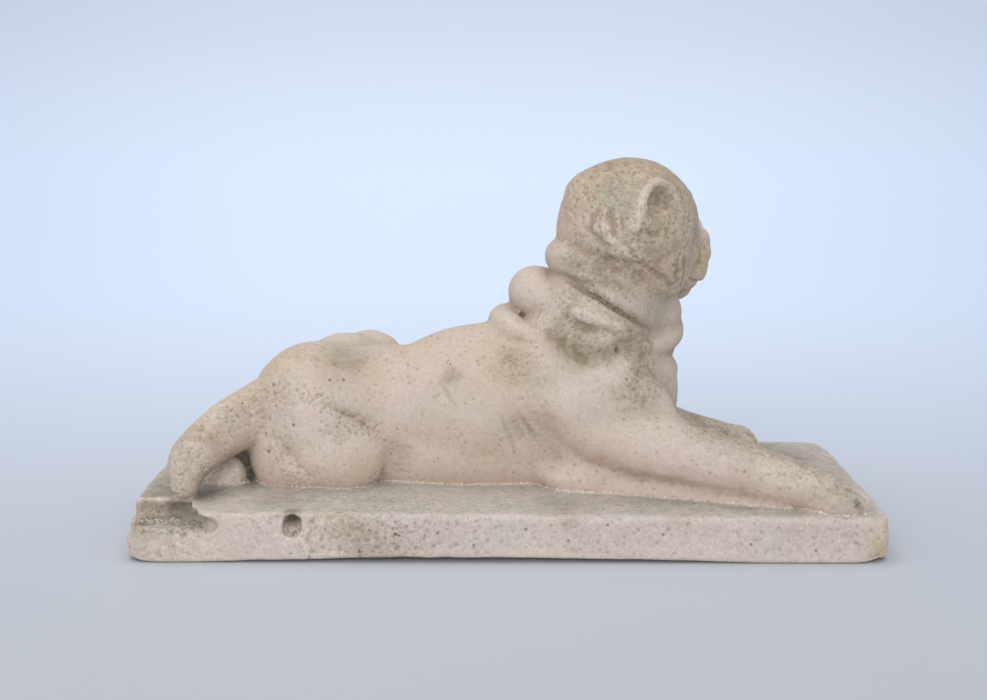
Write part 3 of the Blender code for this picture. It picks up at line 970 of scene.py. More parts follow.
    def fine_lines(self) -> list[Stroke]:
        """Wrinkles, nostrils, the torn edge of the near ear and the cheek's lines."""
        strokes = [
            Stroke(((-42, -12, 19), (-45, -9, 10), (-46, -6, 0)), 2.0, 2.4, ragged=0.3),
            Stroke(((-39, -19, 16), (-41, -21, 9), (-40, -24, 0)), 2.0, 2.8, ragged=0.3),
            Stroke(((-46, -3, 6), (-44, -15, -3), (-40, -23, -8)), 2.2, 2.4, ragged=0.3),
            Stroke(((-42, -16, 17), (-43, -16, 8), (-43, -17, 0)), 1.3, -1.6, ragged=0.3),
            Stroke(((-38, -24, 14), (-39, -26, 6), (-38, -28, -2)), 1.5, -1.4, ragged=0.4),
            Stroke(((-33, -31, -4), (-29, -34, -10), (-26, -35, -16)), 2.4, -1.9, ragged=0.7),
            Stroke(((-36, -28, -8), (-33, -30, -14)), 2.6, -1.6, ragged=0.6),
            Stroke(((-45, -14, -14), (-40, -22, -20), (-34, -29, -26)), 2.6, 1.5, ragged=0.7),
            Stroke(((-34, -34, 2), (-29, -38, 5), (-22, -40, 1), (-16, -42, 5),
                   (-12, -43, 2)), 2.4, 2.6, Profile.SHARP, 0.5),
            Stroke(((-36, -25, 12), (-37, -27, 4), (-36, -30, -4)), 1.6, 1.2, ragged=0.4),
            Stroke(((-37, -29, -2), (-27, -33, -16), (-16, -37, -23), (-6, -39, -31)), 2.2, 1.2, ragged=0.6),
            Stroke(((-34, -32, -10), (-28, -35, -14)), 3.2, -1.6, ragged=0.6),
            Stroke(((-5, -43, -16), (-3, -44, -24), (-1, -42, -33)), 2.2, 1.8, ragged=0.6),
            Stroke(((1, -43, -14), (3, -43, -24), (4, -42, -34)), 1.8, 1.6, ragged=0.5),
            Stroke(((7, -43, -12), (8, -43, -22), (9, -42, -32)), 1.8, 1.4, ragged=0.5),
            Stroke(((-12, -41, -26), (-4, -41, -36)), 2.4, 1.2, ragged=0.6),
            Stroke(((-19, -41, 24), (-22, -39, 12)), 2.4, 1.0, ragged=0.4),
        ]
        for side in Side:
            s = side.value
            strokes += [
                Stroke(((69, s * 3.5, -6), (67.5, s * 8, -4.5), (64, s * 11, -7)), 2.1, 4.2),
                Stroke(((60, s * 4, -24), (50, s * 17, -31), (38, s * 28, -37), (26, s * 33, -36)), 1.8, 2.0),
                Stroke(((52, s * 6, 24), (42, s * 9, 31), (30, s * 10, 38)), 2.2, 1.4),
                Stroke(((44, s * 26, -8), (40, s * 29, -18), (36, s * 31, -28)), 2.4, 1.2),
                Stroke(((34, s * 33, 6), (30, s * 37, -4), (28, s * 38, -14)), 2.4, 1.5),
                Stroke(((62, s * 6, -13), (58, s * 12, -12)), 1.2, 0.8),
                Stroke(((59, s * 8, -19), (55, s * 13, -18)), 1.2, 0.8),
            ]
        return strokes


@dataclass
class Figure:
    """The whole dog, from its masses of clay to its weathered skin."""

    trunk: Trunk = field(default_factory=Trunk)
    legs: Legs = field(default_factory=Legs)
    tail: Tail = field(default_factory=Tail)
    neck: NeckFolds = field(default_factory=NeckFolds)
    head: Head = field(default_factory=Head)
    mass_grain: float = 0.0026
    form_grain: float = 0.0013
    skin_grain: float = 0.00108
    bedding: float = 0.005
    triangles: int = 194000

    def build(self) -> bpy.types.Object:
        """Models the figure.

        Returns:
            The figure, thinned, with its masks.
        """
        clay = fuse("masses", [*self.trunk.masses(), *self.legs.masses(), *self.head.masses()], self.mass_grain, 20)
        forms = [*self.legs.forms(), *self.tail.forms(), *self.neck.forms(), *self.head.forms()]
        clay = fuse("forms", [clay, *forms], self.form_grain, 14)
        skin = Skin(clay)
        skin.press([*self.trunk.creases(), *self.legs.creases(), *self.neck.creases(), *self.legs.toes()])
        skin.press(self.head.creases(), self.head.frame)
        clay = fuse("bulldog_figure", [clay, *self.head.eyes(tree_of(clay))], self.skin_grain, 2)
        refine(clay, near_places(Skin(clay).points, LINE_PLACES, 5.5), 1)
        refine(clay, near_places(Skin(clay).points, FIGURE_HOLES, 3.4), 2)
        skin = Skin(clay)
        skin.press([
            *self.trunk.fine_lines(), *self.legs.fine_lines(), *self.tail.fine_lines(), *self.neck.fine_lines(),
            *(Stroke((hole,), 0.62, 1.8, Profile.CUT, 0.4) for hole in FIGURE_HOLES),
        ])
        skin.press(self.head.fine_lines(), self.head.frame)
        skin.erode(0.30 + 0.70 * skin.strength(Trace.ROUGH, FIGURE_SPOTS), 4, np.ones(len(skin.points)))
        self.cut_level(clay)
        return self.dress(clay)

    def cut_level(self, clay: bpy.types.Object) -> None:
        """Cuts the figure off level, a little way down in the plinth.

        Args:
            clay: The figure.
        """
        select_only([clay])
        bpy.ops.object.mode_set(mode="EDIT")
        bpy.ops.mesh.select_all(action="SELECT")
        bpy.ops.mesh.bisect(
            plane_co=(0, 0, PLINTH_TOP - self.bedding), plane_no=(0, 0, 1), use_fill=True, clear_inner=True
        )
        bpy.ops.object.mode_set(mode="OBJECT")

    def dress(self, clay: bpy.types.Object) -> bpy.types.Object:
        """Thins the figure and stores its masks and its finish.

        Args:
            clay: The figure at its full grain.

        Returns:
            The finished figure.
        """
        return finish_stone(clay, FIGURE_SPOTS, self.triangles, FIGURE_STONE)


# ---------------------------------------------------------------- the plinth


@dataclass
class Plinth:
    """The thin plinth, flared at its foot, with its broken corner, air hole and worn edges."""

    rear_thickness: float = 0.0325
    front_thickness: float = 0.0285
    flare: float = 0.0015
    edge_rounding: float = 0.0024
    corner_rounding: float = 0.008
    break_length: float = 0.0334
    break_slant: float = 0.013
    break_depth: float = 0.027
    break_drop: float = 0.011
    cave_size: Point = (0.022, 0.016, 0.010)
    undercut_size: Point = (0.026, 0.014, 0.010)
    mouth_size: Point = (0.016, 0.020, 0.009)
    worn_corner: Point = (0.017, 0.034, 0.015)
    hole_distance: float = 0.1022
    hole_drop: float = 0.007
    # Each lobe of the air hole: its place along the plinth and up from the hole's own, and its full size.
    hole_lobes: tuple[tuple[float, float, Point], ...] = (
        (0.0, 0.0, (0.012, 0.018, 0.014)),
        (-0.0030, -0.0040, (0.0075, 0.015, 0.0065)),
        (0.0030, 0.0036, (0.0060, 0.015, 0.0060)),
    )
    arch: float = 0.0030
    pebble_size: float = 0.0020
    pebble_relief: float = 1.5
    bite_relief: float = 1.5
    crumb_size: float = 0.0022
    bead_width: float = 0.0018
    foot_width: float = 0.0030
    bead_reach: float = 0.009
    grain: float = 0.0012
    triangles: int = 196000

    def build(self, figure: bpy.types.Object) -> bpy.types.Object:
        """Models the plinth.

        Args:
            figure: The figure that stands on it.

        Returns:
            The plinth, thinned, with its masks.
        """
        obj = self.block()
        for cutter in self.cutters():
            apply_modifier(obj, "BOOLEAN", object=cutter, operation="DIFFERENCE", solver="EXACT")
            bpy.data.objects.remove(cutter)
        obj = fuse("plinth", [obj], self.grain, 2)
        refine(obj, near_places(Skin(obj).points, PLINTH_HOLES, 3.4), 2)
        refine(obj, near_places(Skin(obj).points, BROKEN_PLACES, 9.0), 1)
        refine(obj, self.beside(Skin(obj), tree_of(figure), 0.0035), 1)
        skin = Skin(obj)
        skin.press(self.wear_strokes())
        # The depth between the pebbles, later painted as shade.
        gaps = self.weather(skin)
        bead = self.bed(skin, tree_of(figure))
        return finish_stone(obj, PLINTH_SPOTS, self.triangles, PLINTH_STONE, bead, gaps)

    def block(self) -> bpy.types.Object:
        """Builds the plain block with its rounded corners and rims.

        Returns:
            The block.
        """
        bpy.ops.object.select_all(action="DESELECT")
        bpy.ops.mesh.primitive_cube_add(size=1.0)
        obj = bpy.context.active_object
        obj.name = "plinth"
        obj.data.transform(
            Matrix.Diagonal((PLINTH_LENGTH, PLINTH_WIDTH, PLINTH_TOP, 1)) @ Matrix.Translation((0, 0, 0.5))
        )
        for vertex in obj.data.vertices:
            if vertex.co.z > PLINTH_TOP / 2:
                vertex.co.z = self.rear_thickness if vertex.co.x < 0 else self.front_thickness
            else:
                vertex.co.x += math.copysign(self.flare, vertex.co.x)
                vertex.co.y += math.copysign(self.flare, vertex.co.y)
        self.round_edges(obj, True, self.corner_rounding, 4)
        self.round_edges(obj, False, self.edge_rounding, 3)
        return obj

    def round_edges(self, obj: bpy.types.Object, upright: bool, size: float, segments: int) -> None:
        """Bevels the block's upright edges or its rims in edit mode.

        Args:
            obj: The block.
            upright: Whether the upright edges are rounded, rather than the rims.
            size: The width of the bevel, in metres.
            segments: How many faces it has.
        """
        select_only([obj])
        bpy.ops.object.mode_set(mode="EDIT")
        bpy.ops.mesh.select_mode(type="EDGE")
        bpy.ops.mesh.select_all(action="DESELECT")
        bpy.ops.object.mode_set(mode="OBJECT")
        mesh = obj.data
        for edge in mesh.edges:
            one, two = (mesh.vertices[i] for i in edge.vertices)
            stands = abs(one.co.z - two.co.z) > PLINTH_TOP / 2
            level = max(one.co.z, two.co.z) < MILLIMETRE or min(one.co.z, two.co.z) > self.front_thickness * 0.9
            edge.select = stands if upright else (level and not stands)
        bpy.ops.object.mode_set(mode="EDIT")
        bpy.ops.mesh.bevel(offset=size, segments=segments, affect="EDGES", profile=0.5)
        bpy.ops.object.mode_set(mode="OBJECT")

    def cutters(self) -> Objects:
        """Builds the shapes that are broken out of the block.

        Returns:
            The cutter of the broken corner, and the air hole's.
        """
        end = -PLINTH_LENGTH / 2
        face = -PLINTH_WIDTH / 2 - self.flare / 2
        rim = self.break_depth - PLINTH_WIDTH / 2
        top = self.rear_thickness
        hollow = fuse("broken_corner", [
            self.wedge(end, face),
            self.lump((end + self.break_length + self.break_slant, face, top - 0.8 * self.break_drop), self.cave_size),
            self.lump((end + self.break_length * 0.85, rim - 0.004, top - 0.6 * self.break_drop), self.undercut_size),
            self.lump((end + self.break_length + self.break_slant / 2, face + 0.011, top - 0.65 * self.break_drop),
                      self.mouth_size),
            self.lump((end - 0.002, face, top - self.break_drop - 0.001), self.worn_corner),
        ], self.grain, 1)
        hole = fuse("air_hole", [
            self.lump((end + self.hole_distance + along, face, PLINTH_TOP - self.hole_drop + up), size)
            for along, up, size in self.hole_lobes
        ], self.grain, 1)
        for cutter, coarse in ((hollow, 0.0013), (hole, 0.0014)):
            skin = Skin(cutter)
            skin.sink(coarse * clouds(skin.points, 0.0065, 3, 21))
        return [hollow, hole]

    def wedge(self, end: float, face: float) -> bpy.types.Object:
        """Adds the cutter of the broken corner: a block with one slanting side, from its floor to above the top.

        Args:
            end: Where the plinth ends.
            face: Where its near side is.

        Returns:
            The cutter.
        """
        bpy.ops.object.select_all(action="DESELECT")
        bpy.ops.mesh.primitive_cube_add(size=1.0)
        obj = bpy.context.active_object
        for vertex in obj.data.vertices:
            front = vertex.co.y < 0
            side = self.break_length + (self.break_slant if front else 0.0)
            vertex.co.x = end + (side if vertex.co.x > 0 else -self.break_slant)
            vertex.co.y = face - self.flare if front else self.break_depth - PLINTH_WIDTH / 2
            vertex.co.z = self.rear_thickness + (self.break_drop if vertex.co.z > 0 else -self.break_drop)
        return obj

    def lump(self, centre: Point, size: Point) -> bpy.types.Object:
        """Adds a round cutter of that full size at a place in the object's own frame."""
        bpy.ops.mesh.primitive_uv_sphere_add(segments=32, ring_count=18, radius=0.5)
        obj = bpy.context.active_object
        obj.data.transform(Matrix.Translation(centre) @ Matrix.Diagonal((*size, 1.0)))
        return obj

    def wear_strokes(self) -> list[Stroke]:
        """The crack beside the air hole, worn corners, nicks and loose crumbs."""
        crack = ((-121, FACE, -4), (-120, FACE, -10), (-122, FACE, -16), (-120, FACE, -23), (-121, FACE, -31))
        strokes = [
            Stroke(crack, 0.9, 1.9, Profile.SHARP, 0.4),
            Stroke(tuple((x - 3.2, y, z) for x, y, z in crack), 1.6, -0.7, ragged=0.3),
            Stroke(((-121, FACE, -1), (-117, FACE, -7)), 1.6, 1.6, Profile.SHARP, 0.5),
            Stroke(((-206, FACE, -13), (-205, FACE, -21)), 0.8, 1.3, Profile.SHARP, 0.4),
            Stroke(((-204, FACE, -22),), 1.6, 1.2, Profile.CUT, 0.5),
            Stroke(((233, FACE, -30),), 9, 3.6),
            Stroke(((-233, FACE, -31),), 8, 2.6),
            Stroke(((233, FACE, -3),), 7, 1.6),
            Stroke(((-232, -FACE, 3),), 8, 2.4),
            Stroke(((232, 82, -4),), 9, 2.0),
            Stroke(((-176, -88, 3), (-160, -88, 2)), 3.5, 1.0, ragged=0.4),
            Stroke(((40, -FACE, 0), (60, -FACE, 0)), 4.5, 2.0, ragged=0.5),
            Stroke(((-120, -FACE, 2), (-104, -FACE, 1)), 3.8, 1.8, ragged=0.5),
            Stroke(((232, 30, -4), (232, 44, -5)), 4.0, 1.6, ragged=0.5),
        ]
        strokes += [Stroke((hole,), 0.62, 1.8, Profile.CUT, 0.4) for hole in PLINTH_HOLES]
        return strokes

    def weather(self, skin: Skin) -> np.ndarray:
        """Erodes the plinth, all but its underside, and gives the breaks their rubble.

        Args:
            skin: The plinth's surface.

        Returns:
            How deep between the pebbles of a break each point lies, from 0 to 1; it is painted as shade.
        """
        above = ramp(skin.points[:, 2], 0.0008, 0.0035)
        share = np.clip(skin.points[:, 0] / PLINTH_LENGTH + 0.42, 0, 0.75) / 0.75
        arch = self.arch * np.sin(np.pi * share) * ramp(-skin.points[:, 1], PLINTH_WIDTH * 0.3, PLINTH_WIDTH / 2)
        uneven = 0.0007 * np.abs(clouds(skin.points * (1, 0, 0), 0.03, 3, 71)) * ramp(arch, 0, self.arch / 2)
        skin.points[:, 2] += (arch + uneven) * ramp(-skin.points[:, 2], -0.018, -0.001)
        skin.settle()
        rough = 0.40 + 0.60 * skin.strength(Trace.ROUGH, PLINTH_SPOTS)
        skin.erode(rough, 31, above)
        broken = ramp(skin.strength(Trace.ROUGH, PEBBLES), 0.45, 0.85)
        apart, value = cells_apart(skin.points, self.pebble_size, 40)
        rubble = ramp(-apart, -0.75, -0.05) * (0.25 + 0.75 * value)
        skin.sink((0.35 - rubble) * self.pebble_relief * MILLIMETRE * broken * above)
        inward = np.minimum(
            PLINTH_LENGTH / 2 + self.flare - np.abs(skin.points[:, 0]),
            PLINTH_WIDTH / 2 + self.flare - np.abs(skin.points[:, 1]),
        )
        rim = ramp(-inward, -0.007, -0.002) * ramp(skin.points[:, 2], 0.024, 0.031)
        bites = ramp(clouds(skin.points, 0.012, 3, 52), 0.15, 0.95)
        skin.sink(self.bite_relief * MILLIMETRE * rim * bites)
        return ramp(-rubble, -0.30, -0.02) * broken * above

    def beside(self, skin: Skin, tree: BVHTree, reach: float) -> np.ndarray:
        """Whether each point of the plinth's top lies within reach of the figure.

        Args:
            skin: The plinth's surface.
            tree: The search tree of the figure.
            reach: The distance, in metres.

        Returns:
            True for each point that does.
        """
        chosen = np.zeros(len(skin.points), dtype=bool)
        for i in np.flatnonzero(skin.normals[:, 2] > FACING_UP):
            chosen[i] = tree.find_nearest(skin.points[i], reach)[0] is not None
        return chosen

    def bed(self, skin: Skin, tree: BVHTree) -> np.ndarray:
        """Raises a crumbly bead of stone where the figure meets the plinth.

        Args:
            skin: The plinth's surface.
            tree: The search tree of the figure.

        Returns:
            How much of the bead each point carries, from 0 to 1.
        """
        rise = np.zeros(len(skin.points))
        crumbs, value = cells_apart(skin.points, self.crumb_size, 63)
        grain = ramp(-crumbs, -0.8, -0.1) * value
        long_grain = clouds(skin.points, 0.020, 1, 62)
        for i in np.flatnonzero(skin.normals[:, 2] > FACING_UP):
            found = tree.find_nearest(skin.points[i], self.bead_reach)
            if found[0] is not None:
                near = math.exp(-((found[3] / self.bead_width) ** 2))
                foot = math.exp(-found[3] / self.foot_width)
                rise[i] = near * max(0.0, 1.0 + 2.4 * grain[i] + 0.7 * long_grain[i]) + 0.35 * foot
        skin.points[:, 2] += rise * MILLIMETRE
        skin.settle()
        return ramp(rise, 0.6, 1.3)


def finish_stone(
    obj: bpy.types.Object,
    spots: Sequence[Spot],
    triangles: int,
    finish: "StoneFinish",
    clean: Optional[np.ndarray] = None,
    gaps: Optional[np.ndarray] = None,
) -> bpy.types.Object:
    """Thins a piece of stone, stores its masks, and gives it its finish and its place in the frame.

    Args:
        obj: The piece at its full grain.
        spots: The traces that it carries.
        triangles: How many triangles it keeps.
        finish: Its material.
        clean: How pale and freshly broken each point is, from 0 to 1.
        gaps: How much painted shade lies in the gap between pebbles at each point, from 0 to 1.

    Returns:
        The finished piece.
    """
    skin = Skin(obj)
    fine = skin.relief(3)
    broad = skin.relief(36)
    before = skin.points.copy()
    thin(obj, triangles)
    skin = Skin(obj)
    source = carried_over(before, skin.points)
    masks = {
        "pores": fine[source] / PORE_DEPTH,
        "hollows": broad[source] / HOLLOW_DEPTH,
        "ridges": -broad[source] / RIDGE_HEIGHT,
        "upward": ramp(skin.normals[:, 2], 0.15, 0.9),
    }
    masks |= {trace.value: skin.strength(trace, spots) for trace in Trace}
    if clean is not None:
        masks[Trace.PALE.value] = np.maximum(masks[Trace.PALE.value], 0.85 * clean[source])
    # Painted shade between the pebbles of the breaks.
    if gaps is not None:
        masks[Trace.DARK.value] = np.maximum(masks[Trace.DARK.value], 0.55 * gaps[source])
    write_masks(obj, masks)
    select_only([obj])
    bpy.ops.object.shade_smooth()
    obj.data.materials.clear()
    obj.data.materials.append(finish.make())
    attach(obj, BODY)
    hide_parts(NODE)
    log.info("%s: %d triangles", obj.name, len(obj.data.polygons))
    return obj


# ---------------------------------------------------------------- traces of weather


def spread(trace: Trace, reach: float, strength: float, *places: Point) -> list[Spot]:
    """Spots of one trace, all of one reach and strength."""
    return [Spot(trace, place, reach, strength) for place in places]


FIGURE_HOLES: tuple[Point, ...] = (
    (-136, -43, 44), (-153, -40, 26), (-199, -64, 32), (-170, -34, 56), (-104, -33, 72), (-150, -31, 68),
    (-201, -79, 8), (84, -38, 72), (77, -40, 74), (126, -50, 43), (-113, -35, 72), (-155, -38, 37),
    (-203, -73, 20), (-189, -61, 20), (-60, 44, 40), (30, 50, 70), (-140, 36, 40), (-20, 45, 60),
)
PLINTH_HOLES: tuple[Point, ...] = (
    (-117, -76, 2), (-68, FACE, -12), (-66, FACE, -13), (-228, FACE, -3), (12, FACE, -9), (96, FACE, -12),
    (38, FACE, -16),
    (150, FACE, -18), (-20, FACE, -20), (190, FACE, -22), (62, FACE, -6), (-90, FACE, -26), (-46, -70, 1),
    (-42, FACE, -11),
    (232, -20, -15), (233, 40, -20), (100, -FACE, -12), (-60, -FACE, -10), (-233, 20, -12),
)

BROKEN_PLACES: tuple[Point, ...] = (
    (-228, -66, -4), (-216, -66, -4), (-204, -66, -4), (-228, -78, -8), (-216, -78, -8), (-204, -78, -8),
    (-228, -88, -9),
    (-216, FACE, -9), (-204, FACE, -9), (-194, -82, -7), (-190, FACE, -8), (-182, FACE, -8), (-131, FACE, -8),
    (-131, -84, -7), (-196, -72, -2),
)
LINE_PLACES: tuple[Point, ...] = (
    (38, -20, 136), (46, -28, 132), (54, -31, 128), (62, -31, 123), (70, -32, 118), (78, -30, 113), (86, -27, 107),
    (94, -21, 101), (-118, -41, 60), (-110, -40, 54), (-102, -38, 50), (-94, -35, 45), (-86, -33, 37), (-79, -33, 27),
)

